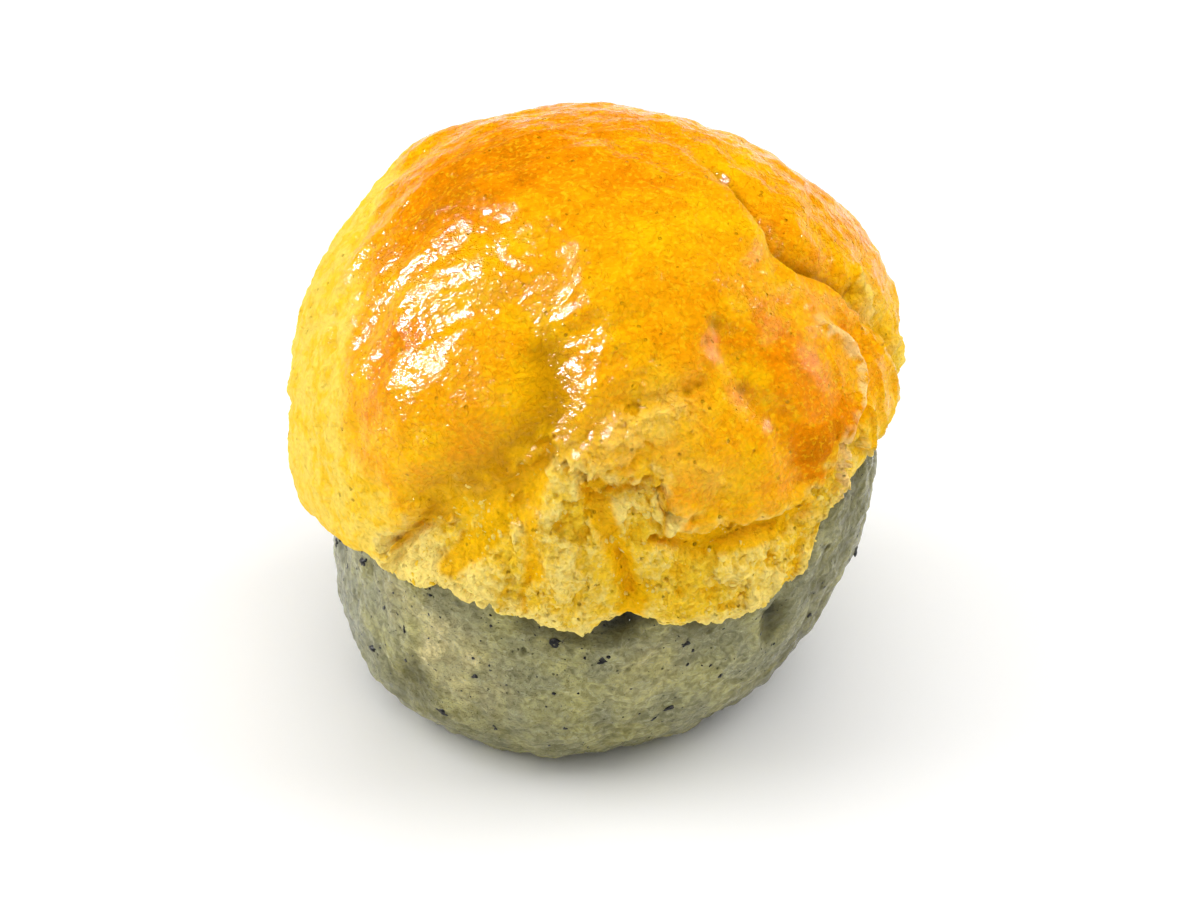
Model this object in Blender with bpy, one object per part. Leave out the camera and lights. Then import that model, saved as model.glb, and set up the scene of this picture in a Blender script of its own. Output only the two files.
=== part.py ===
"""Pineapple puff: a speckled bun of dough under a glazed biscuit crust.

Metres, +Z up, the front towards -Y, the origin under the middle of the puff.

The form is read from the puff's centre: a point of it has a bearing, 0 at the front and
growing towards +X, and a latitude, 0 at the centre's height and 90 at the crown. Form
lengths are in millimetres, and they become metres when a mesh is made.
"""

import bmesh
import bpy
import numpy as np
from mathutils import Matrix, Vector, noise
from mathutils.bvhtree import BVHTree

MM = 0.001

# The body: rounder than a ball, narrower at the foot, leaning to the left as it goes down
CENTRE_HEIGHT = 34.0
FOOT_LEAN = 4.0
LEAN_POWER = 1.3
CENTRING = (0.19, 0.12)

# Half sizes and roundness powers of the two pieces, above and below the centre's height
CRUST_ACROSS = 35.0
CRUST_UP = 34.0
CRUST_DOWN = 60.0
CRUST_POWER = 2.1
DOUGH_ACROSS = 31.3
DOUGH_UP = 30.0
DOUGH_DOWN = 37.4
DOUGH_TOP_POWER = 2.1
DOUGH_FOOT_POWER = 3.2

# How the crust sits on the dough, and the rounding of its lip
CRUST_GAP = 0.4
LEAST_CRUST = 1.0
LIP_NOSE_SHARE = 0.35
LIP_UNDERCUT = 1.3
LIP_LEAN_OUT = 0.8

# Shares of the way from the crown, over the lip and back inside, where the lip's parts lie
LIP_STARTS = 0.60
LIP_NOSE = 0.69
LIP_ENDS = 0.715

# The crust's lower rim: bearing and latitude in degrees, from the left flank round
RIM_LINE = (
    (-150, -18.5), (-120, -21.0), (-90, -22.0), (-75, -17.0), (-60, -12.5),
    (-47, -9.3), (-39, -11.3), (-28, -8.3), (-19, -8.0), (-9, -10.4),
    (-2, -12.4), (6.7, -8.0), (12, -12.4), (25, -14.0), (38, -12.6),
    (43.5, -9.0), (48, 1.0), (53, 3.6), (62, 4.0), (70, 7.0),
    (82, 5.0), (95, -2.0), (110, -9.0), (135, -15.5), (155, -12.0),
    (180, -16.0),
)

# Height of the rounded lip above the rim, by bearing: broad on the left, low in front
LIP_HEIGHT = ((-180, 7.0), (-120, 9.0), (-60, 9.0), (-42, 5.0), (-30, 3.6), (60, 3.4), (95, 5.0), (140, 7.0))

# Lower edge of the glazed skin; below it the crust is bare crumb
SKIN_EDGE = (
    (-180, -6.0), (-150, -14.0), (-120, -32.0), (-60, -32.0), (-46, -12.0),
    (-37, 1.5), (-29, 10.0), (-19, 16.5), (-9, 24.0), (-1, 20.0),
    (4, 17.5), (12, 19.0), (19, 7.3), (31, 5.8), (39, 7.5),
    (45, 11.0), (59, 11.5), (66, 7.0), (75, 0.0), (92, -4.0), (115, -2.0),
    (135, 4.0), (158, -1.0),
)
SKIN_STEP = 0.9
SKIN_STEP_REACH = 4.5
SKIN_STEP_HALF_WIDTH = 0.6

# Uneven surfaces: length of the waves, their height, and a layer of the noise of its own
SKIN_WAVES = (11.0, 0.45, 5)
SKIN_RAGS = (5.0, 1.6, 3)
CRUMB_LUMPS = (6.0, 0.55, 6)
CRUMB_GRAINS = (2.6, 0.35, 7)
RIM_RAGS = (5.0, 1.0, 8)
DOUGH_LUMPS = (12.0, 0.55, 21)
DOUGH_DIMPLES = (4.0, 0.25, 22)
FLANK_FOLDS = (3.6, 0.45, 23)
GROOVE_WANDERING = (7.0, 0.025)
GROOVE_LAYERS = (11, 12, 13)

# Degrees of raggedness of the rim where it is smooth, and what bare crumb adds to it
SMOOTH_RIM = 0.5
CRUMBLY_RIM = 1.3

# Bearings between which the upright folds of the flanks grow, and how tall the folds are
FOLD_BEARINGS = (35.0, 60.0)
FOLD_HEIGHT_SHARE = 0.22

# Swellings and hollows: bearing, latitude, spread in degrees, height
LOBES = (
    (-131, 45, 10, 1.5),
    (-113, 31, 14, 0.3),
    (106, 24, 21, 1.5),
    (90, -4, 16, -0.8),
    (150, 52, 14, -0.5),
    (-35, 28, 16, 1.6),
    (45, 22, 14, 1.2),
    (20, 60, 20, 0.5),
)
DOUGH_LOBES = ((78, -10, 28, 1.6), (-80, -18, 34, -2.2))

# Grooves along the crust: their points, width, depth, and the way over which they deepen
CREASE = (
    ((168, 71), (125, 74), (92, 68), (75, 60), (64, 51), (67, 45), (74, 38), (75, 31), (80, 23), (86, 12)),
    2.0, 1.9, 30.0,
)
CREASE_RIDGE = (((140, 79), (92, 73), (70, 63), (57, 52)), 1.6, -0.6, 20.0)
LEFT_VALLEY = (((-16, 53), (-12, 42), (-9, 36), (-10, 30), (-14, 25), (-20, 19), (-30, 11)), 3.4, 1.5, 8.0)
LOBE_GROOVE = (((-50, 37), (-42, 42), (-34, 46), (-23, 49), (-16, 53)), 3.0, 0.9, 6.0)
RIGHT_LOBE_GROOVE = (((36, 48), (32, 43), (32, 36), (33, 30), (37, 23), (39, 13)), 2.2, 0.9, 6.0)
FRONT_CRACK = (((-1, 21), (1, 13), (5, 5), (6.7, -3.5), (7, -10)), 1.1, 1.2, 2.0)
PLATE_FOLD = (((9.4, 8), (19, 5.6), (32, 5.1), (42.5, 5.3)), 1.2, 1.4, 3.0)
SKIRT_GROOVE = (((-10, 20), (-17, 11), (-26, 1)), 2.2, 0.7, 3.0)
NUB_CRACK = (((-36, 3), (-38, -4), (-40, -10)), 1.0, 0.8, 2.0)
GROOVES = (
    CREASE, CREASE_RIDGE, LEFT_VALLEY, LOBE_GROOVE, RIGHT_LOBE_GROOVE,
    FRONT_CRACK, PLATE_FOLD, SKIRT_GROOVE, NUB_CRACK,
)

# Pits in the dough: bearing, latitude, spread in degrees, height
DOUGH_PITS = (
    (7.2, -11.5, 3.2, -1.6),
    (41.5, -21.4, 2.6, -1.2),
    (43, -25.8, 2.4, -1.0),
    (-33.5, -27, 5.0, -0.8),
    (-40, -38, 6.0, -0.6),
)

# Dark flecks that show in the photograph, largest first: bearing, latitude, length
FRONT_FLECKS = (
    (-57.4, -19.0, 1.7), (-30.6, -42.9, 1.6), (-6.0, -19.2, 1.5), (22.2, -38.0, 1.4),
    (20.0, -40.5, 1.4), (21.5, -22.0, 1.3), (4.0, -23.0, 1.2), (31.6, -31.7, 1.0),
    (-22.5, -30.7, 0.9), (-17.2, -43.5, 0.9),
)
FLECK_COUNT = 32
FLECK_LENGTHS = (1.6, 0.9)
FLECK_WIDTH_SHARE = 0.62
FLECK_THICKNESS = 0.6
FLECK_SINK = 0.08
FLECK_LATITUDES = (-46.0, -20.0)
FLECK_SEED = 7

NOISE_OCTAVES = 3
LAYER_SHIFT = 17.3

# Facets kept of the fine meshes
SOURCE_SUBDIVISIONS = 7
CRUST_FACETS = 8200
DOUGH_FACETS = 3600

GLAZE_GOLD = (0.86, 0.48, 0.04, 1.0)
DOUGH_GREY_GREEN = (0.42, 0.43, 0.30, 1.0)


def directions_of(bearings, latitudes):
    """Unit vectors of bearings and latitudes given in degrees."""
    turn = np.radians(bearings)
    rise = np.radians(latitudes)
    return np.stack((np.cos(rise) * np.sin(turn), -np.cos(rise) * np.cos(turn), np.sin(rise)), axis=-1)


def angles_of(directions):
    """Bearings and latitudes, in degrees, of unit vectors."""
    bearings = np.degrees(np.arctan2(directions[:, 0], -directions[:, 1]))
    return bearings, np.degrees(np.arcsin(np.clip(directions[:, 2], -1.0, 1.0)))


def round_the_bun(line, bearings):
    """Values of a line of (bearing, value) points, with its corners eased."""
    knots = np.array(sorted(line))
    reach = 2.0
    turns = (bearings - reach, bearings, bearings + reach)
    return sum(np.interp(turn, knots[:, 0], knots[:, 1], period=360.0) for turn in turns) / 3.0


def superellipse(latitudes, across, along, power):
    """Radius at each latitude of a rounded body with the given half sizes."""
    rise = np.radians(latitudes)
    return ((np.cos(rise) / across) ** power + (np.abs(np.sin(rise)) / along) ** power) ** (-1.0 / power)


def swellings(directions, bumps):
    """Sum of round bumps, each a (bearing, latitude, spread, height)."""
    total = np.zeros(len(directions))
    for bearing, latitude, spread, height in bumps:
        peak = directions_of(bearing, latitude)
        away = np.degrees(np.arccos(np.clip(directions @ peak, -1.0, 1.0)))
        total += height * np.exp(-((away / spread) ** 2))
    return total


def measure_from_line(directions, line):
    """Distance over the crust to a line of (bearing, latitude) points, and the way along it."""
    knots = directions_of(*np.array(line, dtype=float).T) * CRUST_ACROSS
    points = directions * CRUST_ACROSS
    nearest = np.full(len(points), np.inf)
    way_along = np.zeros(len(points))
    passed = 0.0
    for start, end in zip(knots[:-1], knots[1:]):
        along = end - start
        share = np.clip((points - start) @ along / (along @ along), 0.0, 1.0)
        away = np.linalg.norm(points - start - share[:, None] * along, axis=1)
        length = np.linalg.norm(along)
        way_along = np.where(away < nearest, passed + share * length, way_along)
        nearest = np.minimum(nearest, away)
        passed += length
    return nearest, way_along


def groove_depth(directions, groove):
    """How deep a groove is at points: it deepens along its line and dies away beside it."""
    line, width, depth, deepens = groove
    distance, way_along = measure_from_line(directions, line)
    return depth * ease(way_along, 0.0, deepens) * np.exp(-((distance / width) ** 2))


def rough(points, waves):
    """Fractal noise at points: its main waves' length, their height, and its layer."""
    wavelength, height, layer = waves
    shifted = (points / wavelength + layer * LAYER_SHIFT).tolist()
    return height * np.array([noise.fractal(point, 1.0, 2.0, NOISE_OCTAVES) for point in shifted])


def ease(values, low, high):
    """Smooth step from 0 at low to 1 at high."""
    share = np.clip((values - low) / (high - low), 0.0, 1.0)
    return share * share * (3.0 - 2.0 * share)


def body_lobes(directions):
    """Swellings that the dough and the crust share."""
    return swellings(directions, LOBES)


def crust_radius(directions):
    """Outer radius of the crust before its creases and crumb."""
    latitudes = angles_of(directions)[1]
    top = superellipse(latitudes, CRUST_ACROSS, CRUST_UP, CRUST_POWER)
    skirt = superellipse(latitudes, CRUST_ACROSS, CRUST_DOWN, CRUST_POWER)
    return np.where(latitudes > 0.0, top, skirt) + body_lobes(directions)


def dough_radius(directions):
    """Outer radius of the dough before its wrinkles and pits."""
    latitudes = angles_of(directions)[1]
    top = superellipse(latitudes, DOUGH_ACROSS, DOUGH_UP, DOUGH_TOP_POWER)
    foot = superellipse(latitudes, DOUGH_ACROSS, DOUGH_DOWN, DOUGH_FOOT_POWER)
    body = np.where(latitudes > 0.0, top, foot)
    return body + body_lobes(directions) + swellings(directions, DOUGH_LOBES)


def skin_distance(directions):
    """Distance over the crust above the glazed skin's ragged lower edge."""
    bearings, latitudes = angles_of(directions)
    step = 0.5
    edge = round_the_bun(SKIN_EDGE, bearings)
    slope = (round_the_bun(SKIN_EDGE, bearings + step) - edge) / step
    rags = rough(directions * CRUST_ACROSS, SKIN_RAGS)
    return np.radians(latitudes - edge) * CRUST_ACROSS / np.sqrt(1.0 + slope * slope) + rags


def crust_relief(directions):
    """Creases, cracks, the skin's edge and the crumb, as heights over the crust."""
    points = directions * CRUST_ACROSS
    sway = [rough(points, (*GROOVE_WANDERING, layer)) for layer in GROOVE_LAYERS]
    wandering = directions + np.stack(sway, axis=-1)
    wandering /= np.linalg.norm(wandering, axis=1)[:, None]
    height = -sum(groove_depth(wandering, groove) for groove in GROOVES)
    over_edge = skin_distance(directions)
    bare = 1.0 - ease(over_edge, -SKIN_STEP_HALF_WIDTH, SKIN_STEP_HALF_WIDTH)
    height -= SKIN_STEP * bare * np.exp(np.minimum(over_edge, 0.0) / SKIN_STEP_REACH)
    height += (1.0 - bare) * rough(points, SKIN_WAVES)
    height += bare * (rough(points, CRUMB_LUMPS) + rough(points, CRUMB_GRAINS))
    return height


def rim_latitude(bearings):
    """Latitude of the crust's lower rim, ragged where the bare crumb reaches it."""
    ring = directions_of(bearings, np.zeros(len(bearings))) * CRUST_ACROSS
    crumbly = ease(round_the_bun(SKIN_EDGE, bearings) - round_the_bun(RIM_LINE, bearings), 0.0, 8.0)
    return round_the_bun(RIM_LINE, bearings) + (SMOOTH_RIM + CRUMBLY_RIM * crumbly) * rough(ring, RIM_RAGS)


def fold_into_crust(sources):
    """Turn points of a unit ball into the crust: over the top, round the lip and back inside."""
    bearings, latitudes = angles_of(sources)
    share = (90.0 - latitudes) / 180.0
    rim = 90.0 - rim_latitude(bearings)
    lip = np.degrees(round_the_bun(LIP_HEIGHT, bearings) / CRUST_ACROSS)
    undercut = np.degrees(LIP_UNDERCUT / CRUST_ACROSS)
    over = np.clip(share / LIP_STARTS, 0.0, 1.0)
    falling = np.clip((share - LIP_STARTS) / (LIP_NOSE - LIP_STARTS), 0.0, 1.0) * np.pi / 2.0
    turning = np.clip((share - LIP_NOSE) / (LIP_ENDS - LIP_NOSE), 0.0, 1.0) * np.pi / 2.0
    inside = np.clip((share - LIP_ENDS) / (1.0 - LIP_ENDS), 0.0, 1.0)
    polar = over * (rim - lip) + np.sin(falling) * lip
    polar -= (1.0 - np.cos(turning)) * undercut + inside * (rim - undercut)
    ways = directions_of(bearings, 90.0 - polar)
    inner = dough_radius(ways) + CRUST_GAP
    outer = crust_radius(ways)
    nose_radius = inner + LIP_NOSE_SHARE * (outer - inner)
    radius = nose_radius + (outer - nose_radius) * np.cos(falling)
    radius -= (nose_radius - inner) * np.sin(turning)
    height = crust_relief(ways) * np.cos(turning) ** 2
    down = directions_of(bearings, -polar)
    lean_out = np.sin(falling) * LIP_LEAN_OUT
    height = np.maximum(height, (LEAST_CRUST - (outer - inner)) * np.cos(falling))
    return ways * (radius + height * (1.0 - lean_out))[:, None] + down * (height * lean_out)[:, None]


def dough_relief(directions):
    """Lumps, upright wrinkles and pits of the dough below the crust's rim."""
    bearings, latitudes = angles_of(directions)
    points = directions * DOUGH_ACROSS
    height = rough(points, DOUGH_LUMPS) + rough(points, DOUGH_DIMPLES)
    flanks = ease(np.abs(bearings), *FOLD_BEARINGS)
    height += flanks * rough(points * np.array((1.0, 1.0, FOLD_HEIGHT_SHARE)), FLANK_FOLDS)
    height += swellings(directions, DOUGH_PITS)
    showing = 1.0 - ease(latitudes - rim_latitude(bearings), -2.5, 0.0)
    return height * showing


def swell_into_dough(sources):
    """Turn points of a unit ball into the dough, before its foot is cut flat."""
    return sources * (dough_radius(sources) + dough_relief(sources))[:, None]


def place(points):
    """Stand form points in the object's frame, leaning to the left as they go down."""
    placed = points + np.array((CENTRING[0], CENTRING[1], CENTRE_HEIGHT))
    drop = np.clip((CENTRE_HEIGHT - placed[:, 2]) / CENTRE_HEIGHT, 0.0, None)
    placed[:, 0] -= FOOT_LEAN * drop ** LEAN_POWER
    return placed


def shaped_ball(name, shape, facets):
    """A ball whose points go through a shaping function, thinned to a number of facets."""
    ball = bmesh.new()
    bmesh.ops.create_icosphere(ball, subdivisions=SOURCE_SUBDIVISIONS, radius=1.0)
    facet_share = facets / len(ball.faces)
    mesh = bpy.data.meshes.new(name)
    ball.to_mesh(mesh)
    ball.free()
    flat = np.empty(len(mesh.vertices) * 3)
    mesh.vertices.foreach_get("co", flat)
    sources = flat.reshape(-1, 3)
    sources /= np.linalg.norm(sources, axis=1)[:, None]
    mesh.vertices.foreach_set("co", (place(shape(sources)) * MM).ravel())
    mesh.update()
    piece = bpy.data.objects.new(name, mesh)
    thinning = piece.modifiers.new("fewer facets", "DECIMATE")
    thinning.ratio = facet_share
    return piece


def finish(name, colour, roughness):
    """A Principled material."""
    material = bpy.data.materials.new(name)
    material.use_nodes = True
    shader = material.node_tree.nodes["Principled BSDF"]
    shader.inputs["Base Color"].default_value = colour
    shader.inputs["Roughness"].default_value = roughness
    shader.inputs["Metallic"].default_value = 0.0
    return material


def evaluated_mesh(piece, name):
    """A mesh of the object as its modifiers leave it."""
    depsgraph = bpy.context.evaluated_depsgraph_get()
    mesh = bpy.data.meshes.new_from_object(piece.evaluated_get(depsgraph))
    mesh.name = name
    return mesh


def build_crust(collection):
    """The biscuit crust, one closed cap with its creases, crags and ragged rim."""
    crust = shaped_ball("crust", fold_into_crust, CRUST_FACETS)
    collection.objects.link(crust)
    crust.data.materials.append(finish("glazed biscuit", GLAZE_GOLD, 0.3))
    return crust


def cut_flat_foot(mesh):
    """Cut the mesh off at the height of the table and close it with one flat face."""
    body = bmesh.new()
    body.from_mesh(mesh)
    everything = body.verts[:] + body.edges[:] + body.faces[:]
    cut = bmesh.ops.bisect_plane(
        body, geom=everything, dist=1e-6, plane_co=(0, 0, 0), plane_no=(0, 0, 1), clear_inner=True,
    )
    rim = [item for item in cut["geom_cut"] if isinstance(item, bmesh.types.BMEdge)]
    for vertex in {corner for edge in rim for corner in edge.verts}:
        vertex.co.z = 0.0
    foot = bmesh.ops.contextual_create(body, geom=rim)["faces"]
    bmesh.ops.recalc_face_normals(body, faces=body.faces[:])
    bmesh.ops.triangulate(body, faces=foot)
    body.to_mesh(mesh)
    body.free()


def fleck_places():
    """Bearing, latitude and length of each dark fleck: those in front, then evenly around."""
    places = list(FRONT_FLECKS)
    draw = np.random.default_rng(FLECK_SEED)
    lengths = np.linspace(*FLECK_LENGTHS, FLECK_COUNT - len(places))
    for length in lengths:
        bearings = draw.uniform(-180.0, 180.0, 40)
        latitudes = draw.uniform(*FLECK_LATITUDES, 40)
        latitudes = np.minimum(latitudes, round_the_bun(RIM_LINE, bearings) - 7.0)
        candidates = directions_of(bearings, latitudes)
        taken = directions_of(*np.array(places)[:, :2].T)
        clearest = int(np.argmin((candidates @ taken.T).max(axis=1)))
        places.append((bearings[clearest], latitudes[clearest], length))
    return places


def build_flecks(dough_mesh, collection):
    """Flat dark flecks, half sunk in the dough's surface, one object each."""
    surface = bmesh.new()
    surface.from_mesh(dough_mesh)
    tree = BVHTree.FromBMesh(surface)
    surface.free()
    draw = np.random.default_rng(FLECK_SEED + 1)
    for number, (bearing, latitude, length) in enumerate(fleck_places()):
        way = directions_of(np.array([bearing]), np.array([latitude]))
        aim = place(way * dough_radius(way)[:, None])[0] * MM
        spot, normal, _face, _distance = tree.find_nearest(Vector(aim))
        turn = Matrix.Rotation(draw.uniform(0.0, np.pi), 4, "Z")
        size = Vector((length, length * FLECK_WIDTH_SHARE, FLECK_THICKNESS)) * (0.5 * MM)
        stand = normal.to_track_quat("Z", "Y").to_matrix().to_4x4()
        seat = Matrix.Translation(spot - normal * FLECK_SINK * MM)
        mesh = bpy.data.meshes.new(f"fleck_{number:02d}")
        fleck = bmesh.new()
        shape = seat @ stand @ turn @ Matrix.Diagonal(size).to_4x4()
        bmesh.ops.create_icosphere(fleck, subdivisions=1, radius=1.0, matrix=shape)
        fleck.to_mesh(mesh)
        fleck.free()
        collection.objects.link(bpy.data.objects.new(mesh.name, mesh))


def build_dough(collection):
    """The dough, its foot cut flat, with its larger dark flecks joined on."""
    soft = shaped_ball("dough_form", swell_into_dough, DOUGH_FACETS)
    collection.objects.link(soft)
    mesh = evaluated_mesh(soft, "dough")
    bpy.data.objects.remove(soft)
    cut_flat_foot(mesh)
    dough = bpy.data.objects.new("dough", mesh)
    collection.objects.link(dough)
    flecks = bpy.data.collections.new("flecks")
    bpy.context.scene.collection.children.link(flecks)
    build_flecks(mesh, flecks)
    union = dough.modifiers.new("flecks on", "BOOLEAN")
    union.operation = "UNION"
    union.operand_type = "COLLECTION"
    union.collection = flecks
    union.solver = "EXACT"
    dough.data = evaluated_mesh(dough, "dough")
    dough.modifiers.clear()
    for fleck in list(flecks.objects):
        bpy.data.objects.remove(fleck)
    bpy.data.collections.remove(flecks)
    dough.data.materials.clear()
    dough.data.materials.append(finish("speckled dough", DOUGH_GREY_GREEN, 0.5))
    return dough


def main():
    """Build the puff in an empty scene."""
    for old in list(bpy.data.objects):
        bpy.data.objects.remove(old)
    puff = bpy.data.collections.new("pineapple_puff")
    bpy.context.scene.collection.children.link(puff)
    for piece in (build_crust(puff), build_dough(puff)):
        piece.data.shade_smooth()


if __name__ == "__main__":
    main()
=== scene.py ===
"""Looks of the pineapple puff: a glazed biscuit crust over a speckled bun of dough.

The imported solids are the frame. This script repeats the form that they were made from, on
far finer meshes, and dresses it with crumb, wrinkles, dark flecks and the egg glaze.

The form is read from the puff's centre: a point of it has a bearing, 0 at the front and
growing towards +X, and a latitude, 0 at the centre's height and 90 at the crown. Form
lengths are in millimetres, and they become metres when a mesh is made.
"""

import logging
import math
from collections.abc import Callable
from dataclasses import dataclass, field
from enum import Enum

import bmesh
import bpy
import numpy as np
from mathutils import Matrix, Vector, noise
from mathutils.bvhtree import BVHTree


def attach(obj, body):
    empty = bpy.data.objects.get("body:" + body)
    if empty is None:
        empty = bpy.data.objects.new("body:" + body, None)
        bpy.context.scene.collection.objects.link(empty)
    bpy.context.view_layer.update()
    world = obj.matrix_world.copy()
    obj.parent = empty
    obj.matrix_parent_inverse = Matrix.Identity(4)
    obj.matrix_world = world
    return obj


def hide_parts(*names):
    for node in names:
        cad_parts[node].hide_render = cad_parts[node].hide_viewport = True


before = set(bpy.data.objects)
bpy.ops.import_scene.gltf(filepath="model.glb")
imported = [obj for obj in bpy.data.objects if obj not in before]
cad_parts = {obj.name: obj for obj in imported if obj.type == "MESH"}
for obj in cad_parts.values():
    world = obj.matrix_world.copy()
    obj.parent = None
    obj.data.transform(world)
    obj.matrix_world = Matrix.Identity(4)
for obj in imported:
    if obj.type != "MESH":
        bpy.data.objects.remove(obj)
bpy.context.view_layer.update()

MM = 0.001
LAYER_SHIFT = 17.3
OCTAVE_FALL = 1.0
OCTAVE_STEP = 2.0
RIDGE_SHARPNESS = 2.6
LUMP_MIDDLE = 0.45
HOLE_EDGE = 0.05
DOT_GROUPS = (2.3, 1.0, 0.0)

Array = np.ndarray
Rule = Callable[[Array], Array]
Socket = bpy.types.NodeSocket
Value = Socket | float | tuple[float, ...]
Line = tuple[tuple[float, float], ...]
Range = tuple[float, float]
Ramp = tuple[float, ...]
Pattern = tuple[float, float, float]
Triple = tuple[float, float, float]
Colour = tuple[float, float, float, float]

log = logging.getLogger("pineapple_puff")


class Detail(Enum):
    """How fine the meshes are made."""

    DRAFT = 8
    FULL = 9


class Mask(Enum):
    """Names of the values that a mesh carries at its points for its material."""

    GLAZE = "glaze"
    TOAST = "toast"
    CRUMB = "crumb"
    # painted shade in recesses, creases, pits, under the rim and towards the foot; on the crust also the real
    # amber of run yolk
    PAINTED_SHADE_AND_YOLK = "hollow"
    PALE = "pale"
    TINT = "tint"


def directions_of(bearings: Array, latitudes: Array) -> Array:
    """Turn bearings and latitudes into unit vectors.

    Args:
        bearings: degrees round the puff, 0 at the front.
        latitudes: degrees above the centre's height.

    Returns:
        One unit vector for each pair.
    """
    turn = np.radians(bearings)
    rise = np.radians(latitudes)
    return np.stack((np.cos(rise) * np.sin(turn), -np.cos(rise) * np.cos(turn), np.sin(rise)), axis=-1)


def angles_of(directions: Array) -> tuple[Array, Array]:
    """Bearings and latitudes of unit vectors, in degrees."""
    bearings = np.degrees(np.arctan2(directions[:, 0], -directions[:, 1]))
    return bearings, np.degrees(np.arcsin(np.clip(directions[:, 2], -1.0, 1.0)))


def round_the_bun(line: Line, bearings: Array) -> Array:
    """Read a line of (bearing, value) points that closes round the puff, its corners eased.

    Args:
        line: the points of the line.
        bearings: where to read it, in degrees.

    Returns:
        The line's value at each bearing.
    """
    knots = np.array(sorted(line))
    reach = 2.0
    turns = (bearings - reach, bearings, bearings + reach)
    return sum(np.interp(turn, knots[:, 0], knots[:, 1], period=360.0) for turn in turns) / len(turns)


def superellipse(latitudes: Array, across: float, along: float, power: float) -> Array:
    """Radius at latitudes of a body with two half sizes: an ellipse at a power of 2, boxier above it."""
    rise = np.radians(latitudes)
    return ((np.cos(rise) / across) ** power + (np.abs(np.sin(rise)) / along) ** power) ** (-1.0 / power)


def way_between(values: Array, low: float, high: float) -> Array:
    """Share of the way from low to high, 0 before it and 1 past it."""
    return np.clip((values - low) / (high - low), 0.0, 1.0)


def ease(values: Array, low: float, high: float) -> Array:
    """Smooth step from 0 at low to 1 at high."""
    share = way_between(values, low, high)
    return share * share * (3.0 - 2.0 * share)


def drawn_out(points: Array, way: Triple, times: float) -> Array:
    """Shrink points along one way, so that what is read at them comes out longer along it."""
    axis = np.array(way) / np.linalg.norm(way)
    return points - (1.0 - 1.0 / times) * np.outer(points @ axis, axis)


def in_layer(points: Array, size: float, layer: int) -> list[list[float]]:
    """Points counted in steps of one size, in a layer's own part of the noise."""
    return (points / size + layer * LAYER_SHIFT).tolist()


@dataclass(frozen=True)
class Waves:
    """One layer of uneven surface: the length of its waves, their height and its own layer."""

    length: float
    height: float
    layer: int
    octaves: int = 3

    def plain(self, points: Array) -> Array:
        """Waves at points in millimetres, before they are given their height."""
        shifted = in_layer(points, self.length, self.layer)
        return np.array([noise.fractal(point, OCTAVE_FALL, OCTAVE_STEP, self.octaves) for point in shifted])

    def over(self, points: Array) -> Array:
        """Height of this layer at points, given in millimetres."""
        return self.height * self.plain(points)

    def ridges(self, points: Array) -> Array:
        """Height of thin ridges between smooth hollows, from 0 up to this layer's height."""
        return self.height * np.clip(1.0 - RIDGE_SHARPNESS * np.abs(self.plain(points)), 0.0, 1.0) ** 2

    def billows(self, points: Array) -> Array:
        """Height of rounded lumps with creases between them.

        Args:
            points: form points, in millimetres.

        Returns:
            Heights, about as much above the surface as below it.
        """
        shifted = in_layer(points, self.length, self.layer)
        lumps = np.array([noise.turbulence(point, self.octaves, True) for point in shifted])
        return self.height * (lumps - LUMP_MIDDLE)


@dataclass(frozen=True)
class Grains:
    """One layer of packed grains: their width, their own layer and how uneven they lie."""

    width: float
    layer: int
    unevenness: float = 0.0

    def cells(self, points: Array) -> tuple[Array, Array]:
        """Find the grain that each point is in.

        Args:
            points: form points, in millimetres.

        Returns:
            The distance to the grain's middle as a share of a grain's width, and a value from
            0 to 1 drawn for the grain.
        """
        found = [noise.voronoi(point) for point in in_layer(points, self.width, self.layer)]
        middle = np.array([near[0][0] for near in found])
        drawn = np.array([0.5 + 0.5 * noise.cell(near[1][0]) for near in found])
        return middle, drawn

    def blocks(self, points: Array) -> Array:
        """Height of broken blocks, about as many above as below."""
        return self.unevenness * (self.cells(points)[1] - 0.5)

    def holes(self, points: Array, least: float, most: float) -> Array:
        """Round holes of drawn sizes in the middles of grains, as a share of their depth.

        Args:
            points: form points, in millimetres.
            least: smallest radius as a share of a grain's width, below nothing for no hole.
            most: largest radius.

        Returns:
            The share of a hole's depth at each point.
        """
        middle, drawn = self.cells(points)
        radius = least + (most - least) * drawn
        return 1.0 - ease(middle - radius, -HOLE_EDGE, HOLE_EDGE)


@dataclass(frozen=True)
class Bump:
    """A round swelling, or a hollow where its height is below nothing."""

    bearing: float
    latitude: float
    spread: float
    height: float

    def over(self, directions: Array) -> Array:
        """Read the swelling.

        Args:
            directions: unit vectors, one a row.

        Returns:
            Its height at each of them.
        """
        peak = directions_of(self.bearing, self.latitude)
        away = np.degrees(np.arccos(np.clip(directions @ peak, -1.0, 1.0)))
        return self.height * np.exp(-((away / self.spread) ** 2))


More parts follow.
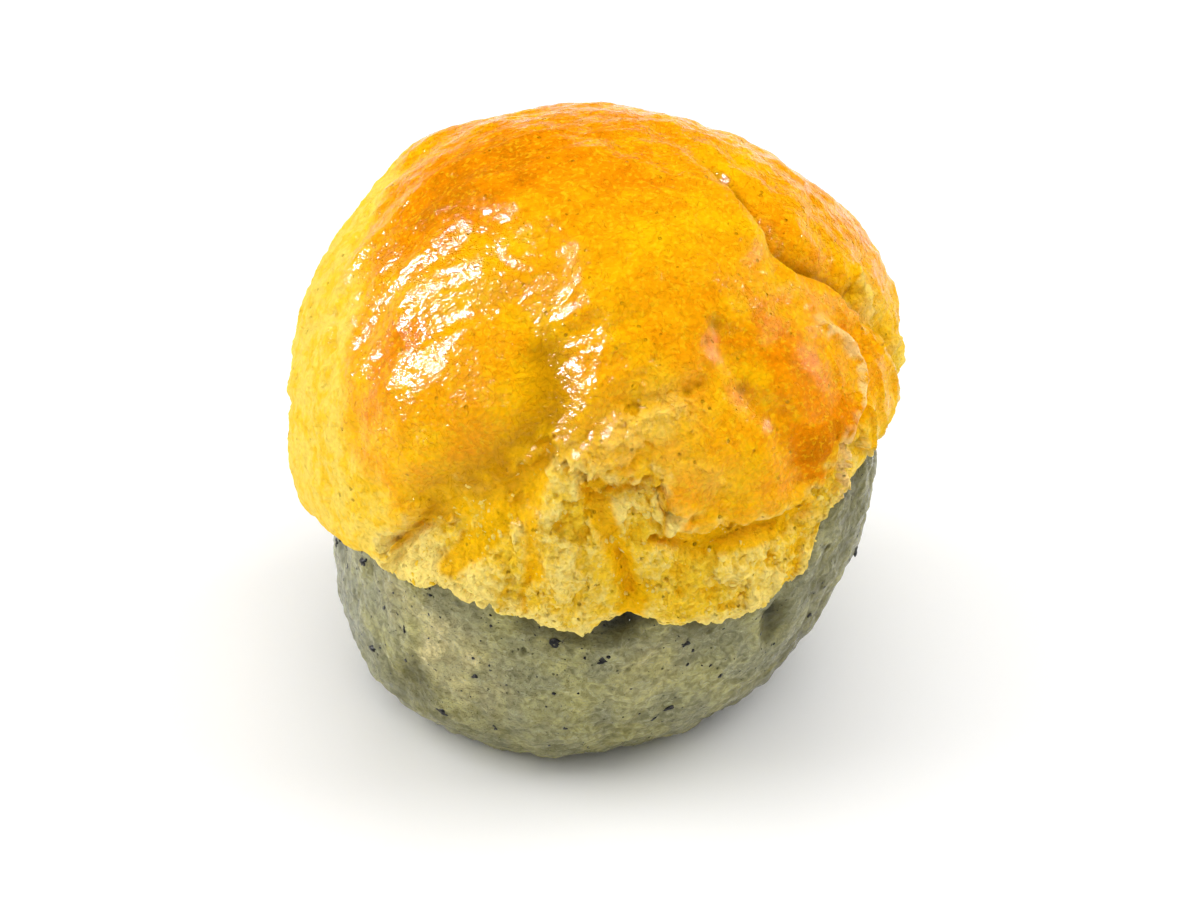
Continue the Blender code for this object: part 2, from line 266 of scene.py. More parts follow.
@dataclass(frozen=True)
class Groove:
    """A line over the crust: a furrow, or a ridge below no depth, that deepens along it."""

    line: Line
    width: float
    depth: float
    deepens: float = 0.1
    # painted shade along the furrow's line
    shade: float = 0.0

    def trace(self, directions: Array, radius: float) -> Array:
        """Measure how fully points lie in the furrow.

        Args:
            directions: unit vectors to the points.
            radius: the crust's radius, in millimetres.

        Returns:
            The share of the furrow's depth, from 1 on its line to 0 away from it.
        """
        knots = directions_of(*np.array(self.line, dtype=float).T) * radius
        points = directions * radius
        nearest = np.full(len(points), np.inf)
        way_along = np.zeros(len(points))
        passed = 0.0
        for start, end in zip(knots[:-1], knots[1:]):
            along = end - start
            share = np.clip((points - start) @ along / (along @ along), 0.0, 1.0)
            away = np.linalg.norm(points - start - share[:, None] * along, axis=1)
            length = np.linalg.norm(along)
            way_along = np.where(away < nearest, passed + share * length, way_along)
            nearest = np.minimum(nearest, away)
            passed += length
        return ease(way_along, 0.0, self.deepens) * np.exp(-((nearest / self.width) ** 2))


def heaped(layers: tuple[Waves, ...] | tuple[Bump, ...], places: Array) -> Array:
    """Sum of the heights of several waves at form points, or of bumps at unit vectors."""
    return sum(layer.over(places) for layer in layers)


def traced(grooves: tuple[Groove, ...], directions: Array, radius: float) -> Array:
    """Sum of the depths of several furrows at unit vectors."""
    return sum(groove.depth * groove.trace(directions, radius) for groove in grooves)


def sway(layers: tuple[Waves, ...], points: Array) -> Array:
    """How far one layer of waves for each axis moves form points."""
    return np.stack([layer.over(points) for layer in layers], axis=-1)


def where_seen(share: Array, height_of: Rule, places: Array, least: float = 0.01) -> Array:
    """Share of a height, worked out only where enough of it is seen.

    Args:
        share: how much of the height each place gets.
        height_of: gives the heights at places.
        places: form points or unit vectors, one a row.
        least: the smallest share that is seen.

    Returns:
        The shared height at each place.
    """
    heights = np.zeros(len(places))
    seen = share > least
    heights[seen] = share[seen] * height_of(places[seen])
    return heights


@dataclass
class PuffForm:
    """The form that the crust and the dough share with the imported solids."""

    centre_height: float = 34.0
    foot_lean: float = 4.0
    lean_power: float = 1.3
    centring: Range = (0.19, 0.12)

    crust_across: float = 35.0
    crust_up: float = 34.0
    crust_down: float = 60.0
    crust_power: float = 2.1
    dough_across: float = 31.3
    dough_up: float = 30.0
    dough_down: float = 37.4
    dough_top_power: float = 2.1
    dough_foot_power: float = 3.2
    crust_gap: float = 0.4

    rim_line: Line = (
        (-150, -18.5), (-120, -21.0), (-90, -22.0), (-75, -17.0), (-60, -12.5),
        (-47, -9.3), (-39, -11.3), (-28, -8.3), (-19, -8.0), (-9, -10.4),
        (-2, -12.4), (6.7, -8.0), (12, -12.4), (25, -14.0), (38, -12.6),
        (43.5, -9.0), (48, 1.0), (53, 3.6), (62, 4.0), (70, 7.0),
        (82, 5.0), (95, -2.0), (110, -9.0), (135, -15.5), (155, -12.0),
        (180, -16.0),
    )
    skin_edge: Line = (
        (-180, -6.0), (-150, -14.0), (-120, -32.0), (-60, -32.0), (-46, -12.0),
        (-37, 1.5), (-29, 10.0), (-19, 16.5), (-9, 24.0), (-1, 20.0),
        (4, 17.5), (12, 19.0), (19, 7.3), (31, 5.8), (39, 7.5),
        (45, 11.0), (59, 11.5), (66, 7.0), (75, 0.0), (92, -4.0), (115, -2.0),
        (135, 4.0), (158, -1.0),
    )
    skin_rags: Waves = Waves(5.0, 1.6, 3)
    rim_rags: Waves = Waves(5.0, 1.0, 8)
    smooth_rim: float = 0.5
    crumbly_rim: float = 1.3
    crumbly_gap: float = 8.0

    lobes: tuple[Bump, ...] = (
        Bump(-131, 45, 10, 1.5),
        Bump(-113, 31, 14, 0.3),
        Bump(106, 24, 21, 1.5),
        Bump(90, -4, 16, -0.8),
        Bump(150, 52, 14, -0.5),
        Bump(-35, 28, 16, 1.6),
        Bump(45, 22, 14, 1.2),
        Bump(20, 60, 20, 0.5),
    )
    dough_lobes: tuple[Bump, ...] = (Bump(78, -10, 28, 1.6), Bump(-80, -18, 34, -2.2))

    @property
    def centre(self) -> Array:
        """The puff's centre in the object's frame."""
        return np.array((self.centring[0], self.centring[1], self.centre_height))

    def body_lobes(self, directions: Array) -> Array:
        """Swellings that the dough and the crust share."""
        return heaped(self.lobes, directions)

    def crust_radius(self, directions: Array) -> Array:
        """Outer radius of the crust before its creases and crumb.

        Args:
            directions: unit vectors, one a row.

        Returns:
            Millimetres from the puff's centre.
        """
        latitudes = angles_of(directions)[1]
        top = superellipse(latitudes, self.crust_across, self.crust_up, self.crust_power)
        skirt = superellipse(latitudes, self.crust_across, self.crust_down, self.crust_power)
        return np.where(latitudes > 0.0, top, skirt) + self.body_lobes(directions)

    def dough_radius(self, directions: Array) -> Array:
        """Outer radius of the dough before its wrinkles and pits.

        Args:
            directions: unit vectors, one a row.

        Returns:
            Millimetres from the puff's centre.
        """
        latitudes = angles_of(directions)[1]
        top = superellipse(latitudes, self.dough_across, self.dough_up, self.dough_top_power)
        foot = superellipse(latitudes, self.dough_across, self.dough_down, self.dough_foot_power)
        body = np.where(latitudes > 0.0, top, foot) + self.body_lobes(directions)
        return body + heaped(self.dough_lobes, directions)

    def ring(self, bearings: Array) -> Array:
        """Form points on a level ring round the crust."""
        return directions_of(bearings, np.zeros(len(bearings))) * self.crust_across

    def rim_crumbliness(self, bearings: Array) -> Array:
        """Share of bare crumb at the rim, from how far the skin's edge lies above it."""
        gap = round_the_bun(self.skin_edge, bearings) - round_the_bun(self.rim_line, bearings)
        return ease(gap, 0.0, self.crumbly_gap)

    def rim_latitude(self, bearings: Array) -> Array:
        """Latitude of the crust's lower rim, ragged where the bare crumb reaches it."""
        raggedness = self.smooth_rim + self.crumbly_rim * self.rim_crumbliness(bearings)
        return round_the_bun(self.rim_line, bearings) + raggedness * self.rim_rags.over(self.ring(bearings))

    def above_line(self, line: Line, directions: Array) -> Array:
        """Distance over the crust above a line of (bearing, latitude) points.

        Args:
            line: the line, closed round the puff.
            directions: unit vectors to the points measured.

        Returns:
            Millimetres above the line, negative below it.
        """
        bearings, latitudes = angles_of(directions)
        step = 0.5
        edge = round_the_bun(line, bearings)
        slope = (round_the_bun(line, bearings + step) - edge) / step
        return np.radians(latitudes - edge) * self.crust_across / np.sqrt(1.0 + slope * slope)

    def lean(self, heights: Array) -> Array:
        """How far to the left the puff leans at heights above its foot."""
        drop = np.clip((self.centre_height - heights) / self.centre_height, 0.0, None)
        return self.foot_lean * drop ** self.lean_power

    def place(self, points: Array) -> Array:
        """Stand form points in the object's frame, leaning to the left as they go down.

        Args:
            points: form points, one a row.

        Returns:
            The placed points, still in millimetres.
        """
        placed = points + self.centre
        placed[:, 0] -= self.lean(placed[:, 2])
        return placed

    def directions_at(self, placed: Array) -> Array:
        """Find where points that stand in the object's frame lie in the form.

        Args:
            placed: points of the object's frame, in millimetres.

        Returns:
            Their unit vectors from the puff's centre.
        """
        points = placed - self.centre
        points[:, 0] += self.lean(placed[:, 2])
        return points / np.linalg.norm(points, axis=1)[:, None]


def in_scene(name: str, data: bpy.types.ID) -> bpy.types.Object:
    """Put a new object in the scene.

    Args:
        name: the object's name.
        data: its mesh, light or camera.

    Returns:
        The object.
    """
    new_object = bpy.data.objects.new(name, data)
    bpy.context.scene.collection.objects.link(new_object)
    return new_object


def mesh_from(body: bmesh.types.BMesh, name: str) -> bpy.types.Mesh:
    """Turn a modelled body into a mesh, and free the body.

    Args:
        body: the modelled body.
        name: the mesh's name.

    Returns:
        The mesh.
    """
    mesh = bpy.data.meshes.new(name)
    body.to_mesh(mesh)
    body.free()
    return mesh


def unit_ball(name: str, subdivisions: int) -> bpy.types.Mesh:
    """Make a ball of triangles with a radius of 1.

    Args:
        name: the mesh's name.
        subdivisions: 1 for 20 triangles, and one more each time that they are divided in four.

    Returns:
        The ball.
    """
    ball = bmesh.new()
    bmesh.ops.create_icosphere(ball, subdivisions=subdivisions, radius=1.0)
    return mesh_from(ball, name)


def points_of(mesh: bpy.types.Mesh) -> Array:
    """Read all points of a mesh.

    Args:
        mesh: the mesh.

    Returns:
        Its points, one a row.
    """
    flat = np.empty(len(mesh.vertices) * 3)
    mesh.vertices.foreach_get("co", flat)
    return flat.reshape(-1, 3)


@dataclass
class ShapedBall:
    """A ball of triangles whose points are moved into a piece, then thinned."""

    name: str
    facets: int
    detail: Detail

    def build(self, shape: Rule, place: Rule) -> bpy.types.Mesh:
        """Make the mesh.

        Args:
            shape: turns unit vectors into form points.
            place: stands form points in the object's frame.

        Returns:
            The thinned mesh, in metres.
        """
        mesh = unit_ball(self.name, self.detail.value)
        share = min(1.0, self.facets / len(mesh.polygons))
        sources = points_of(mesh)
        sources /= np.linalg.norm(sources, axis=1)[:, None]
        mesh.vertices.foreach_set("co", (place(shape(sources)) * MM).ravel())
        mesh.update()
        fine = in_scene(self.name, mesh)
        fine.modifiers.new("fewer facets", "DECIMATE").ratio = share
        depsgraph = bpy.context.evaluated_depsgraph_get()
        thinned = bpy.data.meshes.new_from_object(fine.evaluated_get(depsgraph))
        bpy.data.objects.remove(fine)
        bpy.data.meshes.remove(mesh)
        thinned.name = self.name
        return thinned


def carry(mesh: bpy.types.Mesh, mask: Mask, values: Array) -> None:
    """Store one value a point on a mesh, for its material to read."""
    attribute = mesh.attributes.new(mask.value, "FLOAT", "POINT")
    attribute.data.foreach_set("value", np.asarray(values, dtype=np.float32))


def dress(mesh: bpy.types.Mesh, material: bpy.types.Material, slot: str, *nodes: str) -> bpy.types.Object:
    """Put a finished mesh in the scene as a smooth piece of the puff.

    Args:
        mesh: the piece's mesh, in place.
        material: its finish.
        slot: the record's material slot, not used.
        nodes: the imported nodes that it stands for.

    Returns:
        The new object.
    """
    mesh.materials.clear()
    mesh.materials.append(material)
    mesh.shade_smooth()
    piece = in_scene(mesh.name, mesh)
    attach(piece, "root")
    if nodes:
        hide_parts(*nodes)
    log.info("%s: %d triangles", piece.name, sum(len(face.vertices) - 2 for face in mesh.polygons))
    return piece


class ShaderBench:
    """Adds and links the shader nodes of one material.

    A pattern is given as its size in millimetres, its detail and its distortion. A ramp is
    given as the two values that it rises between and, unless they are 0 and 1, what it gives
    at them.
    """

    def __init__(self, name: str) -> None:
        """Start a material with a Principled shader.

        Args:
            name: the material's name.
        """
        self.material = bpy.data.materials.new(name)
        self.material.use_nodes = True
        self.tree = self.material.node_tree
        self.shader = self.tree.nodes["Principled BSDF"]
        self.coordinates = self.tree.nodes.new("ShaderNodeTexCoord").outputs["Object"]

    def feed(self, node: bpy.types.Node, values: dict[str | int, Value]) -> None:
        """Set or link a node's inputs.

        Args:
            node: the node.
            values: for each input, the socket that is linked to it or the constant it gets.
        """
        for name, value in values.items():
            if isinstance(value, Socket):
                self.tree.links.new(value, node.inputs[name])
            else:
                node.inputs[name].default_value = value

    def mask(self, mask: Mask) -> Socket:
        """Read a value that the mesh carries.

        Args:
            mask: which one.

        Returns:
            The value.
        """
        node = self.tree.nodes.new("ShaderNodeAttribute")
        node.attribute_name = mask.value
        return node.outputs["Fac"]

    def stretched(self, factors: Triple, turn: Triple = (0.0, 0.0, 0.0)) -> Socket:
        """Turn and stretch the object's coordinates.

        Args:
            factors: the scale on each axis.
            turn: radians round each axis, before the scale.

        Returns:
            The coordinates for a pattern.
        """
        turned = self.tree.nodes.new("ShaderNodeMapping")
        self.feed(turned, {"Vector": self.coordinates, "Rotation": turn})
        scaled = self.tree.nodes.new("ShaderNodeMapping")
        self.feed(scaled, {"Vector": turned.outputs["Vector"], "Scale": factors})
        return scaled.outputs["Vector"]

    def clouds(self, pattern: Pattern, where: Socket | None = None) -> Socket:
        """Add noise with patches of one size, from 0 to 1.

        Args:
            pattern: the size of its patches, its detail and its distortion.
            where: coordinates other than the object's own.

        Returns:
            The noise.
        """
        size, detail, distortion = pattern
        node = self.tree.nodes.new("ShaderNodeTexNoise")
        self.feed(node, {
            "Vector": self.coordinates if where is None else where,
            "Scale": 1.0 / (size * MM), "Detail": detail, "Distortion": distortion,
        })
        return node.outputs["Fac"]

    def ramp(self, value: Value, low: float, high: float, start: float = 0.0, end: float = 1.0) -> Socket:
        """Ease a value from start at low to end at high.

        Args:
            value: what is eased.
            low: the value where the ramp starts.
            high: the value where it ends.
            start: what it gives up to low.
            end: what it gives from high on.

        Returns:
            The eased value.
        """
        node = self.tree.nodes.new("ShaderNodeMapRange")
        node.interpolation_type = "SMOOTHSTEP"
        self.feed(node, {"Value": value, "From Min": low, "From Max": high, "To Min": start, "To Max": end})
        return node.outputs["Result"]

    def sums(self, operation: str, first: Value, second: Value = 0.0) -> Socket:
        """Do arithmetic on two values.

        Args:
            operation: what is done, as the Math node calls it.
            first: the first value.
            second: the second one, where the operation takes two.

        Returns:
            The result.
        """
        node = self.tree.nodes.new("ShaderNodeMath")
        node.operation = operation
        self.feed(node, {0: first, 1: second})
        return node.outputs[0]

    def veins(self, pattern: Pattern, edges: Range, where: Socket | None = None) -> Socket:
        """Add thin winding lines where clouds pass their middle value, as wide as the edges say."""
        away = self.sums("ABSOLUTE", self.sums("SUBTRACT", self.clouds(pattern, where), 0.5))
        return self.ramp(away, *edges)

    def dots(self, spacing: float, edges: Range, groups: Range) -> Socket:
        """Add scattered dots.

        Args:
            spacing: millimetres between them.
            edges: how far from its middle, in spacings, a dot ends and where it is full.
            groups: the values of clouds between which the dots come in.

        Returns:
            The dots, 1 in their middles.
        """
        node = self.tree.nodes.new("ShaderNodeTexVoronoi")
        self.feed(node, {"Vector": self.coordinates, "Scale": 1.0 / (spacing * MM)})
        chosen = self.ramp(self.clouds(DOT_GROUPS), *groups)
        return self.sums("MULTIPLY", self.ramp(node.outputs["Distance"], *edges), chosen)

    def mix(self, share: Value, first: Value, second: Value, blend: str = "MIX") -> Socket:
        """Mix two colours.

        Args:
            share: how much of the second is taken.
            first: the colour under it.
            second: the colour mixed in.
            blend: how it is mixed in.

        Returns:
            The mixed colour.
        """
        node = self.tree.nodes.new("ShaderNodeMix")
        node.data_type = "RGBA"
        node.blend_type = blend
        self.feed(node, {"Factor": share, "A": first, "B": second})
        return next(out for out in node.outputs if out.type == "RGBA")

    def blend(self, share: Value, first: Value, second: Value) -> Socket:
        """Mix two values.

        Args:
            share: how much of the second is taken.
            first: the value at no share.
            second: the value at a full share.

        Returns:
            The mixed value.
        """
        node = self.tree.nodes.new("ShaderNodeMix")
        node.data_type = "FLOAT"
        self.feed(node, {"Factor": share, "A": first, "B": second})
        return node.outputs["Result"]

    def relief(self, under: Socket | None, *layers: tuple[Socket, float, Value]) -> Socket:
        """Add bumps, one layer on another.

        Args:
            under: the normal that the first layer lies on, or nothing for the mesh's own.
            layers: each one's height from 0 to 1, its depth in millimetres and its share.

        Returns:
            The bumped normal.
        """
        for height, depth, share in layers:
            node = self.tree.nodes.new("ShaderNodeBump")
            self.feed(node, {"Height": height, "Distance": depth * MM, "Strength": share})
            if under is not None:
                self.feed(node, {"Normal": under})
            under = node.outputs["Normal"]
        return under


@dataclass(frozen=True)
class Translucence:
    """How light runs on under a surface: its share, its reach for each colour and its depth."""

    share: float
    reaches: Triple
    depth: float

    def settings(self) -> dict[str, Value]:
        """What the shader's inputs are set to."""
        names = ("Subsurface Weight", "Subsurface Radius", "Subsurface Scale")
        return dict(zip(names, (self.share, self.reaches, self.depth * MM)))


@dataclass(frozen=True)
class GlazedBiscuit:
    """Egg-glazed skin that passes into bare crumb, with toasted patches, painted shade in its hollows and a
    painted sheen on flank ridges.
    """

    golden: Colour = (0.94, 0.385, 0.002, 1.0)
    toasted: Colour = (0.84, 0.25, 0.001, 1.0)
    browned: Colour = (0.64, 0.19, 0.001, 1.0)
    fleck: Colour = (0.97, 0.63, 0.012, 1.0)
    yolk: Colour = (0.95, 0.475, 0.002, 1.0)
    pale_skin: Colour = (0.94, 0.67, 0.110, 1.0)
    amber_skin: Colour = (0.95, 0.54, 0.003, 1.0)
    # painted peach sheen on the raised flank ridges
    painted_sheen: Colour = (0.97, 0.63, 0.220, 1.0)
    crumb: Colour = (0.98, 0.75, 0.200, 1.0)
    # yolky crumb, also the painted shade between the crumb's lumps
    yolky_and_shaded_crumb: Colour = (0.96, 0.61, 0.030, 1.0)
    # painted shade between the crumb's lumps, also the real amber of run yolk
    painted_shade_and_yolk_crumb: Colour = (0.92, 0.49, 0.002, 1.0)
    # painted shade in the pores
    painted_pore_shade: Colour = (0.42, 0.22, 0.004, 1.0)
    # painted shade on the glaze in creases, cracks and pits
    painted_shade_on_glaze: Colour = (0.55, 0.25, 0.001, 1.0)

    broad: Pattern = (8.0, 3.0, 0.0)
    patches: Pattern = (2.4, 3.0, 0.4)
    fine: Pattern = (0.8, 3.0, 0.0)
    grain: Pattern = (0.5, 3.0, 0.0)
    flecks: Pattern = (0.55, 2.0, 0.5)
    creases: Pattern = (1.6, 3.0, 0.6)
    crease_edges: Range = (0.03, 0.0)
    pore_spacing: float = 1.5
    pore_edges: Range = (0.17, 0.08)
    pore_groups: Range = (0.50, 0.57)
    pore_shares: Range = (0.45, 0.6)

    yolk_ramp: Ramp = (0.42, 0.60)
    patch_toast: Ramp = (0.3, 0.7, -0.2, 0.25)
    fine_toast: Ramp = (0.3, 0.7, -0.12, 0.12)
    toasted_ramp: Ramp = (0.0, 1.15)
    browned_ramp: Ramp = (0.95, 1.7)
    fleck_ramp: Ramp = (0.52, 0.66, 0.0, 0.38)
    crease_toast: float = 0.28
    fine_cream: Ramp = (0.32, 0.68, -0.22, 0.22)
    fine_amber: Ramp = (0.3, 0.7, -0.08, 0.08)
    amber_ramp: Ramp = (0.38, 0.68, 0.1, 0.8)
    crumb_shade_and_yolk_ramp: Ramp = (0.1, 1.0, 0.0, 0.95)
    glaze_painted_shade_ramp: Ramp = (0.1, 1.1)
    painted_sheen_share: float = 0.85
    grain_shade: Ramp = (0.3, 0.7, 0.90, 1.07)

    roughness: float = 0.6
    glaze_roughness: float = 0.03
    glaze_ior: float = 1.19
    moist_share: float = 0.12
    dry_glaze: Ramp = (0.75, 1.05, 1.0, 0.15)
    light: Translucence = Translucence(0.12, (1.0, 0.5, 0.08), 1.0)
    film_waves: tuple[tuple[Pattern, float], ...] = (((1.8, 1.0, 0.8), 0.15), ((0.7, 1.0, 0.8), 0.13))
    film_stretch: Triple = (1.0, 1.0, 1.9)
    film_slant: float = 28.0
    film_pores: float = -0.10
    crease_depth: float = -0.06
    grain_depth: float = 0.25
    grain_on_skin: float = 0.6
    fine_depth: float = 0.30
    fine_on_skin: float = 0.3
    pore_depth: float = -0.25

    def wash(self, bench: ShaderBench, patches: Socket, fine: Socket, creases: Socket) -> Socket:
        """Colour the egg wash: golden or yolk, then toasted, browned, flecked and creased.

        Args:
            bench: the material's nodes.
            patches: clouds of the size of a lentil.
            fine: clouds under a millimetre.
            creases: the wash's fine wrinkles.

        Returns:
            The colour.
        """
        mottle = (bench.ramp(patches, *self.patch_toast), bench.ramp(fine, *self.fine_toast))
        toasting = bench.sums("ADD", bench.mask(Mask.TOAST), bench.sums("ADD", *mottle))
        wash = bench.mix(bench.ramp(bench.clouds(self.broad), *self.yolk_ramp), self.golden, self.yolk)
        wash = bench.mix(bench.ramp(toasting, *self.toasted_ramp), wash, self.toasted)
        wash = bench.mix(bench.ramp(toasting, *self.browned_ramp), wash, self.browned)
        flecks = bench.ramp(bench.clouds(self.flecks), *self.fleck_ramp)
        wash = bench.mix(flecks, wash, self.fleck, "LIGHTEN")
        return bench.mix(bench.sums("MULTIPLY", creases, self.crease_toast), wash, self.toasted)

    def unglazed(self, bench: ShaderBench, patches: Socket, fine: Socket, crumb: Socket) -> Socket:
        """Colour what the wash leaves free: bare crumb, with painted light on its lump tops and painted shade
        between them, and the matt skin of the flanks.

        Args:
            bench: the material's nodes.
            patches: clouds of the size of a lentil.
            fine: clouds under a millimetre.
            crumb: the share of bare crumb.

        Returns:
            The colour.
        """
        cream = bench.mask(Mask.TINT)
        creamy = bench.sums("ADD", cream, bench.ramp(fine, *self.fine_cream))
        bare = bench.mix(bench.ramp(creamy, 0.0, 1.0), self.yolky_and_shaded_crumb, self.crumb)
        amber = bench.sums("ADD", patches, bench.ramp(fine, *self.fine_amber))
        flecked = bench.mix(bench.ramp(amber, *self.amber_ramp), self.pale_skin, self.amber_skin)
        return bench.mix(crumb, bench.mix(cream, self.amber_skin, flecked), bare)

    def material(self) -> bpy.types.Material:
        """Build the shader from the masks that the crust carries.

        Returns:
            The material.
        """
        bench = ShaderBench("glazed_biscuit")
        glaze = bench.mask(Mask.GLAZE)
        crumb = bench.mask(Mask.CRUMB)
        hollow = bench.mask(Mask.PAINTED_SHADE_AND_YOLK)
        patches, fine, grain = (bench.clouds(pattern) for pattern in (self.patches, self.fine, self.grain))
        creases = bench.veins(self.creases, self.crease_edges)
        pores = bench.dots(self.pore_spacing, self.pore_edges, self.pore_groups)
        pores = bench.sums("MULTIPLY", pores, bench.blend(crumb, *self.pore_shares))

        wash = self.wash(bench, patches, fine, creases)
        # painted shade on the glaze, where the mesh carries shade
        wash = bench.mix(bench.ramp(hollow, *self.glaze_painted_shade_ramp), wash, self.painted_shade_on_glaze)
        base = self.unglazed(bench, patches, fine, crumb)
        # painted shade in the bare crumb, and the real amber of run yolk
        base = bench.mix(bench.ramp(hollow, *self.crumb_shade_and_yolk_ramp), base, self.painted_shade_and_yolk_crumb)
        base = bench.mix(glaze, base, wash)
        # painted sheen on the raised flank ridges
        sheen_paint = bench.sums("MULTIPLY", bench.mask(Mask.PALE), self.painted_sheen_share)
        base = bench.mix(sheen_paint, base, self.painted_sheen)
        base = bench.mix(1.0, base, bench.ramp(grain, *self.grain_shade), "MULTIPLY")

        slanting = bench.stretched(self.film_stretch, (0.0, math.radians(self.film_slant), 0.0))
        film = [(bench.clouds(pattern, slanting), depth, 1.0) for pattern, depth in self.film_waves]
        film = bench.relief(None, *film, (pores, self.film_pores, 1.0))
        rough = bench.relief(
            film, (creases, self.crease_depth, 1.0),
            (grain, self.grain_depth, bench.blend(crumb, self.grain_on_skin, 1.0)),
            (fine, self.fine_depth, bench.blend(crumb, self.fine_on_skin, 1.0)),
            (pores, self.pore_depth, 1.0),
        )
        shine = bench.ramp(bench.mask(Mask.TOAST), *self.dry_glaze)
        bench.feed(bench.shader, {
            # painted shade in the dented pores
            "Base Color": bench.mix(pores, base, self.painted_pore_shade), "Roughness": self.roughness,
            "Specular IOR Level": 0.0, "Coat Weight": bench.blend(glaze, self.moist_share, shine),
            "Coat Roughness": self.glaze_roughness, "Coat IOR": self.glaze_ior,
            "Coat Normal": film, "Normal": rough, **self.light.settings(),
        })
        return bench.material


@dataclass(frozen=True)
class MoistDough:
    """Grey-green steamed dough, olive in patches and greyer on its flanks, with painted shade in its hollows
    and under the rim.
    """

    olive: Colour = (0.45, 0.42, 0.165, 1.0)
    grey: Colour = (0.31, 0.30, 0.155, 1.0)
    cool: Colour = (0.33, 0.34, 0.265, 1.0)
    cream: Colour = (0.64, 0.55, 0.26, 1.0)
    thread: Colour = (0.52, 0.51, 0.33, 1.0)
    shadow: Colour = (0.11, 0.10, 0.035, 1.0)
    # real dark specks, also the painted deep shade in pits and bubbles
    speck_and_deep_shade: Colour = (0.05, 0.05, 0.035, 1.0)

    patches: Pattern = (6.0, 4.0, 0.6)
    grey_ramp: Ramp = (0.36, 0.62)
    mottle: Pattern = (0.9, 4.0, 0.6)
    mottle_shade: Ramp = (0.3, 0.7, 0.72, 1.2)
    threads: Pattern = (1.5, 2.0, 2.2)
    thread_stretch: Triple = (1.0, 1.0, 2.2)
    thread_edges: Range = (0.045, 0.005)
    thread_share: Ramp = (0.40, 0.58, 0.0, 0.75)
    shadow_ramp: Ramp = (0.1, 1.0, 0.0, 0.85)
    painted_deep_shade_ramp: Ramp = (1.0, 1.9, 0.0, 0.9)
    dot_spacing: float = 1.5
    dot_edges: Range = (0.13, 0.07)
    dot_groups: Range = (0.50, 0.56)
    dot_share: float = 0.75

    roughness: float = 0.5
    moisture: float = 0.7
    coat_roughness: float = 0.07
    coat_ior: float = 1.22
    light: Translucence = Translucence(0.3, (1.0, 0.85, 0.45), 1.4)
    wet_waves: Pattern = (1.3, 1.0, 0.8)
    wet_depth: float = 0.30
    thread_depth: float = 0.10
    mottle_depth: float = 0.35
    dot_depth: float = -0.2

    def material(self) -> bpy.types.Material:
        """Build the shader from the masks that the dough carries.

        Returns:
            The material.
        """
        bench = ShaderBench("moist_dough")
        hollow = bench.mask(Mask.PAINTED_SHADE_AND_YOLK)
        mottle = bench.clouds(self.mottle)
        threads = bench.veins(self.threads, self.thread_edges, bench.stretched(self.thread_stretch))
        dots = bench.dots(self.dot_spacing, self.dot_edges, self.dot_groups)

        base = bench.mix(bench.ramp(bench.clouds(self.patches), *self.grey_ramp), self.olive, self.grey)
        base = bench.mix(bench.mask(Mask.TINT), base, self.cool)
        base = bench.mix(bench.mask(Mask.PALE), base, self.cream)
        base = bench.mix(1.0, base, bench.ramp(mottle, *self.mottle_shade), "MULTIPLY")
        threading = bench.sums("MULTIPLY", threads, bench.ramp(mottle, *self.thread_share))
        base = bench.mix(threading, base, self.thread)
        # painted shade from the mesh's shade values, near black where deepest
        base = bench.mix(bench.ramp(hollow, *self.shadow_ramp), base, self.shadow)
        base = bench.mix(bench.ramp(hollow, *self.painted_deep_shade_ramp), base, self.speck_and_deep_shade)
        base = bench.mix(bench.sums("MULTIPLY", dots, self.dot_share), base, self.speck_and_deep_shade)

        wet = bench.relief(None, (bench.clouds(self.wet_waves), self.wet_depth, 1.0))
        rough = bench.relief(
            wet, (threads, self.thread_depth, 1.0), (mottle, self.mottle_depth, 1.0),
            (dots, self.dot_depth, 1.0),
        )
        bench.feed(bench.shader, {
            "Base Color": base, "Roughness": self.roughness, "Specular IOR Level": 0.0,
            "Coat Weight": self.moisture, "Coat Roughness": self.coat_roughness, "Coat IOR": self.coat_ior,
            "Coat Normal": wet, "Normal": rough, **self.light.settings(),
        })
        return bench.material


@dataclass(frozen=True)
class DarkLeaf:
    """Nearly black flakes baked into the dough."""

    dark: Colour = (0.012, 0.012, 0.012, 1.0)
    dusty: Colour = (0.07, 0.065, 0.06, 1.0)
    dust: Pattern = (0.5, 3.0, 0.0)
    dust_ramp: Ramp = (0.45, 0.7)
    roughnesses: Range = (0.35, 0.7)
    gloss: float = 0.1
    grain: Pattern = (0.25, 3.0, 0.0)
    grain_depth: float = 0.08
    grain_share: float = 0.6

    def material(self) -> bpy.types.Material:
        """Build the shader.

        Returns:
            The material.
        """
        bench = ShaderBench("dark_leaf")
        dust = bench.ramp(bench.clouds(self.dust), *self.dust_ramp)
        bench.feed(bench.shader, {
            "Base Color": bench.mix(dust, self.dark, self.dusty),
            "Roughness": bench.blend(dust, *self.roughnesses), "Specular IOR Level": self.gloss,
            "Normal": bench.relief(None, (bench.clouds(self.grain), self.grain_depth, self.grain_share)),
        })
        return bench.material


